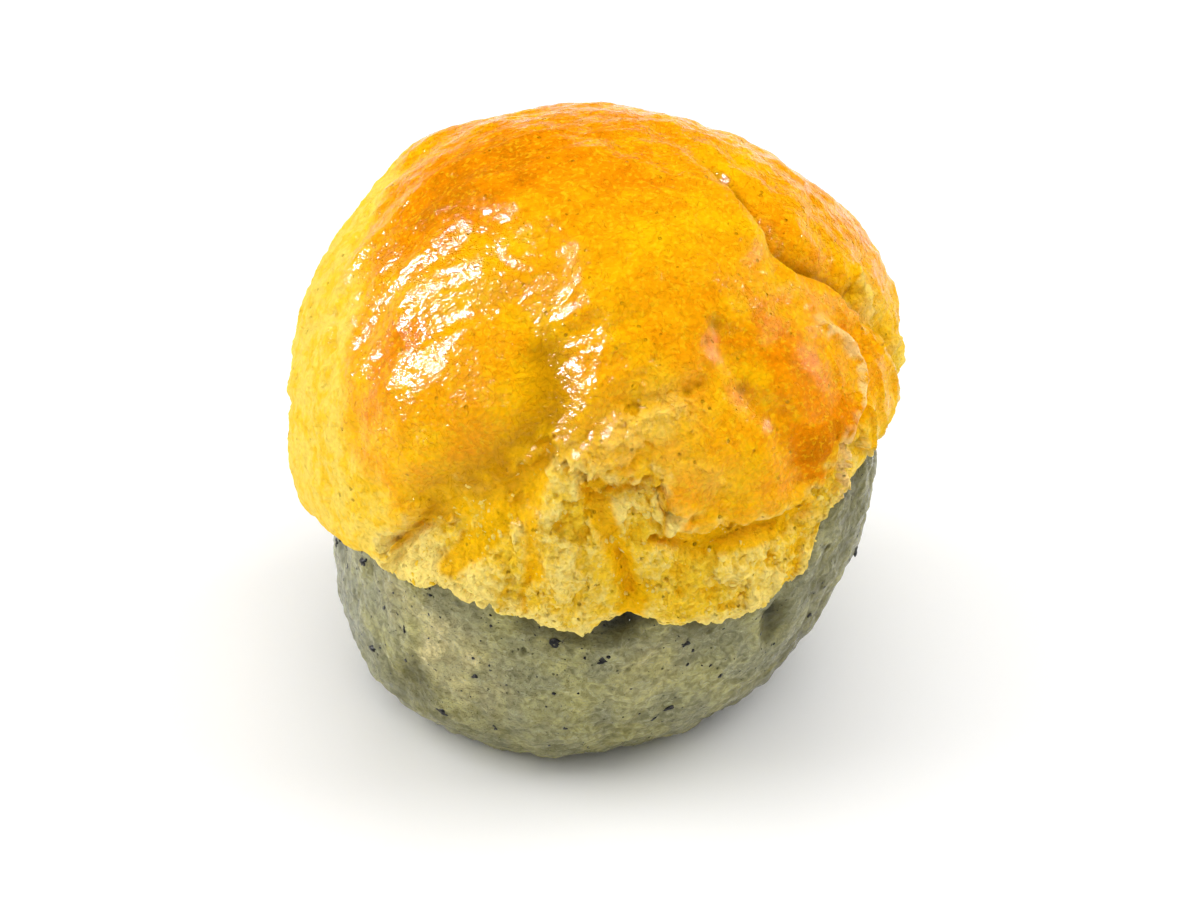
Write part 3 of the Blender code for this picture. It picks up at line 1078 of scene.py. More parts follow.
@dataclass(frozen=True)
class LooseCrumb:
    """Pale grains broken from the biscuit crust."""

    pale: Colour = (0.90, 0.66, 0.15, 1.0)
    golden: Colour = (0.88, 0.55, 0.03, 1.0)
    patches: Pattern = (0.7, 3.0, 0.0)
    patch_ramp: Ramp = (0.35, 0.65, -0.25, 0.25)
    roughness_ramp: Ramp = (-0.25, 0.25, 0.55, 0.7)
    light: Translucence = Translucence(0.15, (1.0, 0.5, 0.08), 0.8)
    grain: Pattern = (0.2, 3.0, 0.0)
    grain_depth: float = 0.06
    grain_share: float = 0.7

    def material(self) -> bpy.types.Material:
        """Build the shader, its colour drawn for each grain.

        Returns:
            The material.
        """
        bench = ShaderBench("loose_crumb")
        patches = bench.ramp(bench.clouds(self.patches), *self.patch_ramp)
        share = bench.ramp(bench.sums("ADD", bench.mask(Mask.TINT), patches), 0.0, 1.0)
        bench.feed(bench.shader, {
            "Base Color": bench.mix(share, self.pale, self.golden),
            "Roughness": bench.ramp(patches, *self.roughness_ramp), "Specular IOR Level": 0.0,
            "Normal": bench.relief(None, (bench.clouds(self.grain), self.grain_depth, self.grain_share)),
            **self.light.settings(),
        })
        return bench.material


@dataclass
class BiscuitCrust:
    """The biscuit crust: its dome, creases, glazed skin, crumb skirt and ragged rim."""

    form: PuffForm
    detail: Detail
    facets: int = 194000

    least_thickness: float = 1.0
    nose_share: float = 0.35
    undercut: float = 1.3
    lean_out: float = 0.8
    lip_starts: float = 0.60
    lip_nose: float = 0.69
    lip_ends: float = 0.715
    lip_height: Line = (
        (-180, 7.0), (-120, 9.0), (-60, 9.0), (-42, 5.0), (-30, 3.6), (60, 3.4), (95, 5.0), (140, 7.0),
    )
    skin_step: float = 1.5
    skin_step_reach: float = 4.0
    skin_step_half_width: float = 0.3

    grooves: tuple[Groove, ...] = (
        Groove(
            (
                (168, 71), (125, 74), (92, 68), (75, 60), (64, 51), (67, 45),
                (74, 38), (75, 31), (80, 23), (86, 12),
            ),
            2.0, 1.9, 30.0, 0.4,
        ),
        Groove(((140, 79), (92, 73), (70, 63), (57, 52)), 1.6, -0.6, 20.0),
        Groove(
            ((-16, 53), (-12, 42), (-9, 36), (-10, 30), (-14, 25), (-20, 19), (-30, 11)),
            3.4, 1.9, 8.0, 0.85,
        ),
        Groove(((-50, 37), (-42, 42), (-34, 46), (-23, 49), (-16, 53)), 3.0, 0.9, 6.0),
        Groove(((36, 48), (32, 43), (32, 36), (33, 30), (37, 23), (39, 13)), 2.2, 0.9, 6.0, 0.25),
        Groove(((-1, 21), (1, 13), (5, 5), (6.7, -3.5), (7, -10)), 1.1, 1.2, 2.0),
        Groove(((9.4, 8), (19, 5.6), (32, 5.1), (42.5, 5.3)), 1.2, 1.4, 3.0, 0.5),
        Groove(((-10, 20), (-17, 11), (-26, 1)), 2.2, 0.7, 3.0),
        Groove(((-36, 3), (-38, -4), (-40, -10)), 1.0, 0.8, 2.0),
        Groove(((-13, 39), (-1, 46.5), (12, 48)), 1.5, 0.55, 3.0),
        Groove(((-7, 29), (1, 35), (12, 40)), 1.5, -0.45, 3.0),
        Groove(((-9, 22), (2, 30), (11.5, 33.7), (23, 35)), 1.3, 0.65, 3.0, 0.4),
        Groove(((64, 37), (67, 30), (67, 24), (61.5, 18), (56.5, 14), (56, 7)), 1.1, 1.3, 4.0),
        Groove(
            ((92, 71), (73, 62.5), (60.5, 52), (63, 45.5), (70, 38.5), (71.5, 31), (76.5, 23.5), (82, 13)),
            0.8, -0.6, 8.0,
        ),
        Groove(((-76, 31), (-71, 29), (-66, 26.5)), 0.7, 0.5, 1.5),
    )
    # raised flank ridges, painted paler as a sheen
    ridges_with_painted_sheen: tuple[Groove, ...] = (
        Groove(
            ((57, 38), (60, 34), (63, 29), (63.5, 26), (62, 22.5), (56, 18), (52, 15), (51, 10), (52, 5)),
            0.9, 1.0, 3.0,
        ),
        Groove(((70, 34), (75, 30), (79, 24), (81, 17), (80, 9), (76, 3)), 0.7, 0.8, 4.0),
    )
    fine_cracks: tuple[Groove, ...] = (
        Groove(((92, 67), (75, 59.5), (65, 51), (67, 45), (74, 38), (75, 31), (80, 23), (86, 12)), 0.6, 0.7),
        Groove(((4, 8), (6, 2), (7, -4), (7, -11)), 0.45, 0.8),
        Groove(((9.4, 8), (19, 5.6), (32, 5.1), (42.5, 5.3)), 0.5, 0.9),
        Groove(((-41, -3), (-36, 3), (-31, 8.5), (-26, 11), (-20, 14), (-15, 19), (-10, 22.5)), 0.7, 1.2),
        Groove(((0, 20), (4, 17.5), (9, 18.5)), 0.5, 0.9),
        Groove(((12, 18), (13, 13), (12, 8)), 0.4, 0.6),
        Groove(((-12, -8), (-13, -3), (-11, 3)), 0.4, 0.5),
    )
    pits: tuple[Bump, ...] = (
        Bump(20.2, 34.0, 1.0, -0.6), Bump(23.1, 34.7, 0.7, -0.4), Bump(32.3, 31.8, 1.1, -0.6),
        Bump(30.9, 44.7, 1.5, -0.7), Bump(27.5, 42.0, 0.8, -0.5), Bump(25.0, 38.0, 0.7, -0.4),
        Bump(78.0, 33.0, 2.0, -1.1), Bump(84.0, 20.0, 2.4, -1.0), Bump(10.0, 38.5, 0.8, -0.4),
        Bump(13.5, 40.5, 0.9, -0.5), Bump(-6.0, 47.0, 0.8, -0.3), Bump(18.0, 11.0, 1.0, -0.6),
    )
    skin_waves: tuple[Waves, ...] = (Waves(11.0, 0.45, 5), Waves(3.0, 0.16, 31), Waves(1.2, 0.07, 32))
    ripples: Waves = Waves(3.8, 0.5, 33, 2)
    ripple_way: Triple = (0.86, 0.25, 0.44)
    ripple_times: float = 2.8
    flank_folds: Waves = Waves(3.2, 0.9, 42, 2)
    flank_fold_times: float = 4.0
    folded_flank: Bump = Bump(74, 12, 22, 1.0)
    pebbles: Waves = Waves(2.4, 0.5, 66, 2)
    pebbled: tuple[Bump, ...] = (Bump(-4, 38, 15, 1.0), Bump(-37, 19, 13, 0.6), Bump(24, 22, 10, 0.5))
    pale_crags: Waves = Waves(1.9, 0.34, 43, 3)
    broken_skin: Waves = Waves(2.2, 0.75, 47, 3)
    broken_reach: float = 3.0
    least_broken: float = 0.02
    crumb_swell: Waves = Waves(6.0, 0.55, 6)
    crumb_waves: tuple[Waves, ...] = (Waves(2.6, 0.25, 7), Waves(0.8, 0.20, 58))
    crumb_lumps: tuple[Waves, ...] = (Waves(4.2, 0.5, 35, 3), Waves(1.2, 0.36, 36, 2))
    crumb_blocks: tuple[Grains, ...] = (Grains(4.4, 56, 1.2), Grains(1.7, 57, 0.55))
    block_sway: tuple[Waves, ...] = tuple(Waves(1.3, 0.5, 44 + axis) for axis in range(3))
    crumb_holes: Grains = Grains(2.8, 37)
    hole_radii: Range = (-0.35, 0.15)
    hole_depth: float = 0.6
    edge_rags: tuple[Waves, ...] = (Waves(2.4, 1.9, 38), Waves(0.9, 0.7, 48))
    pale_edge: float = 1.3
    pale_edge_reach: float = 1.1
    crag_share: float = 0.7
    crag_patches: Waves = Waves(1.9, 1.6, 74)
    rim_nibbles: Waves = Waves(1.5, 0.7, 39)
    groove_sway: tuple[Waves, ...] = tuple(Waves(7.0, 0.025, 11 + axis) for axis in range(3))
    crack_sway: tuple[Waves, ...] = tuple(Waves(1.8, 0.012, 41 + axis) for axis in range(3))

    glaze_edge: Line = (
        (-180, 26), (-150, 32), (-120, 44), (-100, 47), (-88, 42), (-72, 37), (-63, 31), (-56, 23),
        (-52, 17), (-46, 15), (-43, 12), (-40, 7), (-36, -3), (52, -3), (60, 4), (72, 10),
        (87, 14), (105, 20), (130, 25), (155, 29),
    )
    glaze_rags: tuple[Waves, ...] = (Waves(7.0, 2.2, 51), Waves(1.6, 0.9, 52))
    glaze_fade: Range = (-1.6, 1.6)
    creamy: tuple[Bump, ...] = (
        Bump(-37, -4, 9, 1.0), Bump(-24, -5, 7, 0.5), Bump(3, 14, 4, 0.7), Bump(17, 12, 5, 0.5),
        Bump(-16, 18, 4, 0.6), Bump(36, -8, 9, 0.35), Bump(-150, -8, 20, 0.5), Bump(150, -8, 20, 0.5),
    )
    least_cream: float = 0.15
    cream_patches: Waves = Waves(3.0, 0.25, 55)
    painted_light_and_shade_on_lumps: float = 0.5
    crag_cream: float = 0.8
    rim_cream: float = 0.5
    cream_rim: Range = (3.5, 0.0)
    pale_flank: Line = ((-165, 0.0), (-125, 1.0), (-52, 1.0), (-36, 0.0), (0, 0.0))
    crumb_shading: float = 0.95
    crumb_lift: float = 0.4
    deepest_crumb: float = 1.2
    least_bare: float = 0.01
    skirt_shade: Line = ((20, 0.0), (42, 0.4), (80, 0.4), (120, 0.0))
    thin_glaze: Range = (0.3, 3.0)
    thin_glaze_share: float = 0.65
    thin_glaze_rags: Waves = Waves(2.6, 2.0, 59)
    thin_patch_matt: float = 0.8
    yolk_streaks: tuple[Groove, ...] = (
        Groove(((-1, 20), (1, 14), (4, 6), (7, -3), (7, -8)), 1.3, 1.7),
        Groove(((-10, 21), (-15.5, 13.5), (-20.5, 7), (-27, -1)), 1.4, 1.7),
        Groove(((-12, 16), (-11, 6), (-10.5, 1)), 1.2, 1.0),
        Groove(((14, 8), (22, 4.6), (33, 4.0), (41, 7)), 1.0, 1.3),
    )
    streak_smear: Waves = Waves(2.2, 0.5, 53)
    streak_smoothing: float = 0.6
    # painted shade in the fine cracks and pits
    crack_shade: float = 0.8
    pit_shade: float = 1.0
    bare_patches: tuple[Groove, ...] = (
        Groove(((-4, 21), (3, 25.5), (9, 29.5), (16, 31)), 3.4, 0.75),
        Groove(((9, 19), (17, 22), (24, 16)), 2.0, 0.35),
        Groove(((79, 34), (82, 27), (86, 18), (92, 8)), 2.6, 0.95),
    )
    toasted: tuple[Bump, ...] = (
        Bump(-70, 78, 14, 0.75), Bump(-73, 64, 12, 0.75), Bump(-66, 52, 11, 0.55), Bump(150, 80, 18, 0.5),
        Bump(50, 76, 9, 0.5), Bump(12, 68, 10, 0.25), Bump(44, 33, 12, 0.6), Bump(48, 17, 9, 1.5),
        Bump(40, 44, 8, 0.4), Bump(-46, 36.5, 5.5, 1.2), Bump(-47, 26, 7, 0.5), Bump(100, 40, 14, 0.7),
        Bump(75, 48, 9, 0.35), Bump(15, 45, 10, 0.25), Bump(-150, 55, 25, 0.5), Bump(160, 45, 20, 0.45),
        Bump(-18, 30, 7, 0.2), Bump(25, 28, 9, 0.2), Bump(-100, 62, 15, 0.5),
    )
    toast_patches: Waves = Waves(4.5, 0.6, 54)
    most_toast: float = 1.5
    painted_sheen_share: float = 0.9
    painted_sheen_breaks: Waves = Waves(1.3, 3.0, 72)

    def bareness(self, over_edge: Array) -> Array:
        """Share of bare crumb, from the distance above the skin's edge."""
        return 1.0 - ease(over_edge, -self.skin_step_half_width, self.skin_step_half_width)

    def over_skin_edge(self, directions: Array) -> Array:
        """Measure how far above the glazed skin's ragged lower edge places lie.

        Args:
            directions: unit vectors, one a row.

        Returns:
            Millimetres above the edge, negative below it.
        """
        points = directions * self.form.crust_across
        distance = self.form.above_line(self.form.skin_edge, directions)
        return distance + self.form.skin_rags.over(points) + heaped(self.edge_rags, points)

    def thin_patches(self, directions: Array) -> Array:
        """Share of the patches where the crumb shows through the glaze."""
        return np.clip(traced(self.bare_patches, directions, self.form.crust_across), 0.0, 1.0)

    def glazing(self, directions: Array) -> Array:
        """Share of egg glaze on the skin, from nothing low on the flanks to all over the top."""
        rags = heaped(self.glaze_rags, directions * self.form.crust_across)
        return ease(self.form.above_line(self.glaze_edge, directions) + rags, *self.glaze_fade)

    def streaking(self, directions: Array) -> Array:
        """Share of the yolk that has run over the crumb in streaks."""
        smear = 1.0 + self.streak_smear.over(directions * self.form.crust_across)
        return smear * traced(self.yolk_streaks, directions, self.form.crust_across)

    def crumbliness(self, directions: Array) -> Array:
        """Height of the crumb alone: lumps, grains, cracks and the holes between them.

        Args:
            directions: unit vectors, one a row.

        Returns:
            Heights in millimetres.
        """
        points = directions * self.form.crust_across
        height = heaped(self.crumb_waves, points)
        height += sum(waves.billows(points) for waves in self.crumb_lumps)
        ragged = points + sway(self.block_sway, points)
        height += sum(grains.blocks(ragged) for grains in self.crumb_blocks)
        return height - self.hole_depth * self.crumb_holes.holes(ragged, *self.hole_radii)

    def skin_relief(self, directions: Array) -> Array:
        """Height of the skin alone: swells, slanting ripples, flank folds and its matt crags.

        Args:
            directions: unit vectors, one a row.

        Returns:
            Heights in millimetres.
        """
        points = directions * self.form.crust_across
        height = heaped(self.skin_waves, points)
        height += self.ripples.over(drawn_out(points, self.ripple_way, self.ripple_times))
        folds = self.flank_folds.ridges(drawn_out(points, (0.0, 0.0, 1.0), self.flank_fold_times))
        height += self.folded_flank.over(directions) * folds
        height += heaped(self.pebbled, directions) * self.pebbles.billows(points)
        return height + where_seen(1.0 - self.glazing(directions), self.pale_crags.billows, points)

    def furrows(self, directions: Array) -> Array:
        """Height of the creases, cracks, raised flank ridges and pits, their lines made uneven.

        Args:
            directions: unit vectors, one a row.

        Returns:
            Heights in millimetres.
        """
        across = self.form.crust_across
        points = directions * across
        wandering = directions + sway(self.groove_sway, points)
        wandering /= np.linalg.norm(wandering, axis=1)[:, None]
        nibbled = wandering + sway(self.crack_sway, points)
        height = -traced(self.grooves, wandering, across)
        height -= traced(self.fine_cracks, nibbled, across)
        height += traced(self.ridges_with_painted_sheen, nibbled, across)
        return height + heaped(self.pits, directions)

    def relief(self, directions: Array) -> Array:
        """Height of the furrows, the skin's step, the skin and the crumb over the crust.

        Args:
            directions: unit vectors, one a row.

        Returns:
            Heights in millimetres.
        """
        points = directions * self.form.crust_across
        over_edge = self.over_skin_edge(directions)
        bare = self.bareness(over_edge)
        height = self.furrows(directions)
        height -= self.skin_step * bare * np.exp(np.minimum(over_edge, 0.0) / self.skin_step_reach)
        height += (1.0 - bare) * self.skin_relief(directions)
        height += bare * self.crumb_swell.over(points)
        breaking = (1.0 - bare) * np.exp(-np.maximum(over_edge, 0.0) / self.broken_reach)
        height += where_seen(breaking, self.broken_skin.billows, points, self.least_broken)
        bareness = np.maximum(bare, self.thin_patches(directions))
        bareness *= 1.0 - self.streak_smoothing * np.clip(self.streaking(directions), 0.0, 1.0)
        return height + where_seen(bareness, self.crumbliness, directions)

    def fold(self, sources: Array) -> Array:
        """Turn a unit ball into the crust: over the top, round the lip and back inside.

        Args:
            sources: unit vectors, one a point.

        Returns:
            The crust's form points.
        """
        bearings, latitudes = angles_of(sources)
        share = (90.0 - latitudes) / 180.0
        across = self.form.crust_across
        nibbles = self.form.rim_crumbliness(bearings) * self.rim_nibbles.over(self.form.ring(bearings))
        rim = 90.0 - self.form.rim_latitude(bearings) - nibbles
        lip = np.degrees(round_the_bun(self.lip_height, bearings) / across)
        undercut = np.degrees(self.undercut / across)
        over = way_between(share, 0.0, self.lip_starts)
        falling = way_between(share, self.lip_starts, self.lip_nose) * np.pi / 2.0
        turning = way_between(share, self.lip_nose, self.lip_ends) * np.pi / 2.0
        inside = way_between(share, self.lip_ends, 1.0)
        polar = over * (rim - lip) + np.sin(falling) * lip
        polar -= (1.0 - np.cos(turning)) * undercut + inside * (rim - undercut)
        ways = directions_of(bearings, 90.0 - polar)
        inner = self.form.dough_radius(ways) + self.form.crust_gap
        outer = self.form.crust_radius(ways)
        nose_radius = inner + self.nose_share * (outer - inner)
        radius = nose_radius + (outer - nose_radius) * np.cos(falling)
        radius -= (nose_radius - inner) * np.sin(turning)
        height = np.zeros(len(ways))
        shown = turning < np.pi / 2.0
        height[shown] = self.relief(ways[shown]) * np.cos(turning[shown]) ** 2
        height = np.maximum(height, (self.least_thickness - (outer - inner)) * np.cos(falling))
        down = directions_of(bearings, -polar)
        lean = np.sin(falling) * self.lean_out
        return ways * (radius + height * (1.0 - lean))[:, None] + down * (height * lean)[:, None]

    def glazed(self, directions: Array, over_edge: Array) -> Array:
        """Share of glaze on the whole crust, thinned above the skin's edge and on thin patches.

        Args:
            directions: unit vectors, one a row.
            over_edge: distance above the skin's edge.

        Returns:
            The share of glaze.
        """
        ragged_edge = over_edge + self.thin_glaze_rags.over(directions * self.form.crust_across)
        thinned = self.thin_glaze_share * (1.0 - ease(ragged_edge, *self.thin_glaze))
        glaze = self.glazing(directions) * (1.0 - self.bareness(over_edge)) * (1.0 - thinned)
        return glaze * (1.0 - self.thin_patch_matt * self.thin_patches(directions))

    def crags(self, directions: Array, over_edge: Array) -> Array:
        """Share of crumb that breaks through the skin along its edge.

        Args:
            directions: unit vectors, one a row.
            over_edge: distance above the skin's edge.

        Returns:
            The share of crumb.
        """
        edging = np.exp(-((over_edge / self.pale_edge_reach) ** 2))
        crags = self.pale_edge * (1.0 - self.bareness(over_edge)) * edging
        broken = self.crag_share + self.crag_patches.over(directions * self.form.crust_across)
        return np.clip(crags * broken, 0.0, 1.0)

    def painted_shade_and_yolk(self, directions: Array, bareness: Array, crumbs: Array) -> Array:
        """Depth of painted shade in the crumb's holes, cracks, pits and creases, plus the real colour of yolk
        that has run.

        Args:
            directions: unit vectors, one a row.
            bareness: share of crumb that shows.
            crumbs: height of the crumb as a share of its usual height.

        Returns:
            The depth of painted shade and yolk, 1 in a full hollow.
        """
        across = self.form.crust_across
        # painted shade between the crumb's lumps
        hollow = bareness * np.clip(-crumbs, 0.0, self.deepest_crumb)
        hollow += self.crack_shade * sum(crack.trace(directions, across) for crack in self.fine_cracks)
        hollow -= self.pit_shade * heaped(self.pits, directions)
        shaded = [groove for groove in self.grooves if groove.shade > 0.0]
        hollow += sum(groove.shade * groove.trace(directions, across) for groove in shaded)
        return hollow + bareness * self.streaking(directions)

    def creaminess(self, directions: Array, bareness: Array, crumbs: Array, crags: Array) -> Array:
        """Share of cream in the colour of the crumb and of the matt skin, with painted light on the crumb's
        lump tops and painted shade between them.

        Args:
            directions: unit vectors, one a row.
            bareness: share of crumb that shows.
            crumbs: height of the crumb as a share of its usual height.
            crags: share of crumb that breaks through the skin.

        Returns:
            The share of cream.
        """
        # painted light on the crumb's lump tops, painted shade between them
        cream = heaped(self.creamy, directions) + self.painted_light_and_shade_on_lumps * np.clip(crumbs, -1.0, 1.0)
        cream += self.rim_cream * ease(self.form.above_line(self.form.rim_line, directions), *self.cream_rim)
        cream += self.cream_patches.over(directions * self.form.crust_across) + self.least_cream
        cream += self.crag_cream * crags
        return cream + (1.0 - bareness) * round_the_bun(self.pale_flank, angles_of(directions)[0])

    def paint(self, mesh: bpy.types.Mesh) -> None:
        """Store where the crust is glazed, toasted, bare and creamy, with its painted shade, painted sheen
        and painted light.

        Args:
            mesh: the crust's mesh, in place.
        """
        across = self.form.crust_across
        directions = self.form.directions_at(points_of(mesh) / MM)
        points = directions * across
        over_edge = self.over_skin_edge(directions)
        bare = self.bareness(over_edge)
        crags = self.crags(directions, over_edge)
        bareness = np.maximum(np.maximum(bare, self.thin_patches(directions)), crags)
        showing = bareness > self.least_bare
        crumbs = np.zeros(len(points))
        crumbs[showing] = self.crumbliness(directions[showing]) / self.crumb_shading + self.crumb_lift
        hollow = self.painted_shade_and_yolk(directions, bareness, crumbs)
        # painted shade on the right of the crumb skirt
        hollow += bare * round_the_bun(self.skirt_shade, angles_of(directions)[0])
        toast = heaped(self.toasted, directions) * (1.0 + self.toast_patches.over(points))
        # painted sheen along the raised flank ridges
        sheen_paint = traced(self.ridges_with_painted_sheen, directions, across)
        sheen_paint *= self.painted_sheen_share + self.painted_sheen_breaks.over(points)
        cream = self.creaminess(directions, bareness, crumbs, crags)
        carry(mesh, Mask.GLAZE, self.glazed(directions, over_edge))
        carry(mesh, Mask.TOAST, np.clip(toast, 0.0, self.most_toast))
        carry(mesh, Mask.CRUMB, bareness)
        # painted shade, with the real amber of run yolk
        carry(mesh, Mask.PAINTED_SHADE_AND_YOLK, hollow)
        # paler colour here is painted sheen
        carry(mesh, Mask.PALE, np.clip(sheen_paint, 0.0, 1.0))
        carry(mesh, Mask.TINT, np.clip(cream, 0.0, 1.0))

    def build(self) -> bpy.types.Object:
        """Model, paint and dress the crust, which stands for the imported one.

        Returns:
            The piece.
        """
        mesh = ShapedBall("biscuit_crust", self.facets, self.detail).build(self.fold, self.form.place)
        self.paint(mesh)
        return dress(mesh, GlazedBiscuit().material(), "biscuit_crust", "crust")


@dataclass
class SpeckledDough:
    """The bun of dough: its lumps, flank folds, wrinkles, pits and flat foot."""

    form: PuffForm
    detail: Detail
    facets: int = 150000

    pits: tuple[Bump, ...] = (
        Bump(7.2, -12.5, 3.4, -2.2), Bump(41.5, -21.4, 2.6, -1.2), Bump(43, -25.8, 2.4, -1.0),
        Bump(-29.5, -29, 1.8, -0.5), Bump(-40, -38, 6.0, -0.6),
    )
    lumps: tuple[Waves, ...] = (Waves(12.0, 0.55, 21), Waves(4.0, 0.45, 22), Waves(1.5, 0.14, 61))
    curds: Waves = Waves(3.4, 0.40, 67, 3)
    flank_folds: Waves = Waves(3.6, 0.45, 23)
    fold_bearings: Range = (35.0, 60.0)
    fold_height_share: float = 0.22
    wrinkles: Waves = Waves(5.0, 0.22, 62)
    wrinkle_height_share: float = 2.2
    bubbles: Grains = Grains(4.2, 63)
    bubble_radii: Range = (-0.40, 0.12)
    bubble_depth: float = 0.45
    fade_under_rim: float = 2.5
    rim_shade: float = 0.95
    rim_shade_reach: float = 2.4
    fold_shade: float = 0.35
    fold_depth: float = 0.3
    curd_shade: float = 0.35
    curd_depth: float = 0.2
    right_shade: Line = ((35, 0.0), (58, 0.5), (75, 0.5), (100, 0.25), (140, 0.0))
    cool_flanks: tuple[tuple[Line, float, Waves], ...] = (
        (((-150, 0.3), (-75, 1.0), (-42, 0.0), (60, 0.0)), 0.75, Waves(5.0, 0.6, 64)),
        (((-60, 0.0), (20, 0.0), (60, 0.25), (150, 0.25)), 0.7, Waves(5.0, 0.8, 65)),
    )
    foot_shade: float = 0.4
    foot_latitudes: Range = (-24.0, -50.0)
    rim_shadows: tuple[Bump, ...] = (
        Bump(-11, -14, 5, 0.8), Bump(-3, -16.5, 4, 0.8), Bump(4, -15.5, 4, 0.9), Bump(24, -17, 5, 0.5),
    )
    creamy: tuple[Bump, ...] = (
        Bump(-32, -26.5, 7, 0.8), Bump(-24, -33, 7, 0.45), Bump(-45, -20, 6, 0.4), Bump(14, -26, 6, 0.3),
    )
    cream_patches: Waves = Waves(2.5, 1.0, 73)

    def folds(self, points: Array, bearings: Array) -> Array:
        """Height of the upright folds of the flanks."""
        upright = points * np.array((1.0, 1.0, self.fold_height_share))
        return ease(np.abs(bearings), *self.fold_bearings) * self.flank_folds.over(upright)

    def relief(self, directions: Array) -> Array:
        """Lumps, folds, wrinkles and pits of the dough below the crust's rim.

        Args:
            directions: unit vectors, one a row.

        Returns:
            Heights in millimetres.
        """
        bearings, latitudes = angles_of(directions)
        points = directions * self.form.dough_across
        height = heaped(self.lumps, points) + self.curds.billows(points)
        height += self.folds(points, bearings)
        level = points * np.array((1.0, 1.0, self.wrinkle_height_share))
        height += (1.0 - ease(np.abs(bearings), *self.fold_bearings)) * self.wrinkles.ridges(level)
        height -= self.bubble_depth * self.bubbles.holes(points, *self.bubble_radii)
        height += heaped(self.pits, directions)
        return height * (1.0 - ease(latitudes - self.form.rim_latitude(bearings), -self.fade_under_rim, 0.0))

    def swell(self, sources: Array) -> Array:
        """Turn a unit ball into the dough, before its foot is cut flat."""
        return sources * (self.form.dough_radius(sources) + self.relief(sources))[:, None]

    def cut_flat_foot(self, mesh: bpy.types.Mesh) -> None:
        """Cut the mesh off at the height of the table and close it with a flat face.

        Args:
            mesh: the dough's mesh, in place.
        """
        body = bmesh.new()
        body.from_mesh(mesh)
        everything = body.verts[:] + body.edges[:] + body.faces[:]
        cut = bmesh.ops.bisect_plane(
            body, geom=everything, dist=1e-6, plane_co=(0, 0, 0), plane_no=(0, 0, 1), clear_inner=True,
        )
        rim = [item for item in cut["geom_cut"] if isinstance(item, bmesh.types.BMEdge)]
        for vertex in {corner for edge in rim for corner in edge.verts}:
            vertex.co.z = 0.0
        foot = bmesh.ops.contextual_create(body, geom=rim)["faces"]
        bmesh.ops.recalc_face_normals(body, faces=body.faces[:])
        bmesh.ops.triangulate(body, faces=foot)
        body.to_mesh(mesh)
        body.free()

    def painted_shade_and_yolk(self, directions: Array) -> Array:
        """Depth of painted shade in pits, bubbles, folds and curds, under the rim and towards the foot, and
        darker on the right side.

        Args:
            directions: unit vectors, one a row.

        Returns:
            The depth of painted shade, 1 in a full hollow.
        """
        points = directions * self.form.dough_across
        bearings, latitudes = angles_of(directions)
        hollow = self.bubbles.holes(points, *self.bubble_radii) - heaped(self.pits, directions)
        hollow += self.curd_shade * np.clip(-self.curds.billows(points) / self.curd_depth, 0.0, 1.0)
        over_rim = self.form.above_line(self.form.rim_line, directions)
        hollow += self.rim_shade * np.exp(over_rim / self.rim_shade_reach)
        hollow += self.fold_shade * np.clip(-self.folds(points, bearings) / self.fold_depth, 0.0, 1.0)
        hollow += heaped(self.rim_shadows, directions) + round_the_bun(self.right_shade, bearings)
        return hollow + self.foot_shade * ease(latitudes, *self.foot_latitudes)

    def paint(self, mesh: bpy.types.Mesh) -> None:
        """Store where the dough is cooler and creamier, and its painted shade.

        Args:
            mesh: the dough's mesh, in place.
        """
        directions = self.form.directions_at(points_of(mesh) / MM)
        points = directions * self.form.dough_across
        bearings = angles_of(directions)[0]
        cool = sum(
            round_the_bun(flank, bearings) * (share + patches.over(points))
            for flank, share, patches in self.cool_flanks
        )
        cream = heaped(self.creamy, directions) * (1.0 + self.cream_patches.over(points))
        carry(mesh, Mask.TINT, np.clip(cool, 0.0, 1.0))
        carry(mesh, Mask.PALE, np.clip(cream, 0.0, 1.0))
        # painted shade under the rim, in pits and folds and towards the foot
        carry(mesh, Mask.PAINTED_SHADE_AND_YOLK, self.painted_shade_and_yolk(directions))

    def build(self) -> bpy.types.Object:
        """Model, paint and dress the dough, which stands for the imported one.

        Returns:
            The piece.
        """
        mesh = ShapedBall("speckled_dough", self.facets, self.detail).build(self.swell, self.form.place)
        self.cut_flat_foot(mesh)
        self.paint(mesh)
        return dress(mesh, MoistDough().material(), "speckled_dough", "dough")


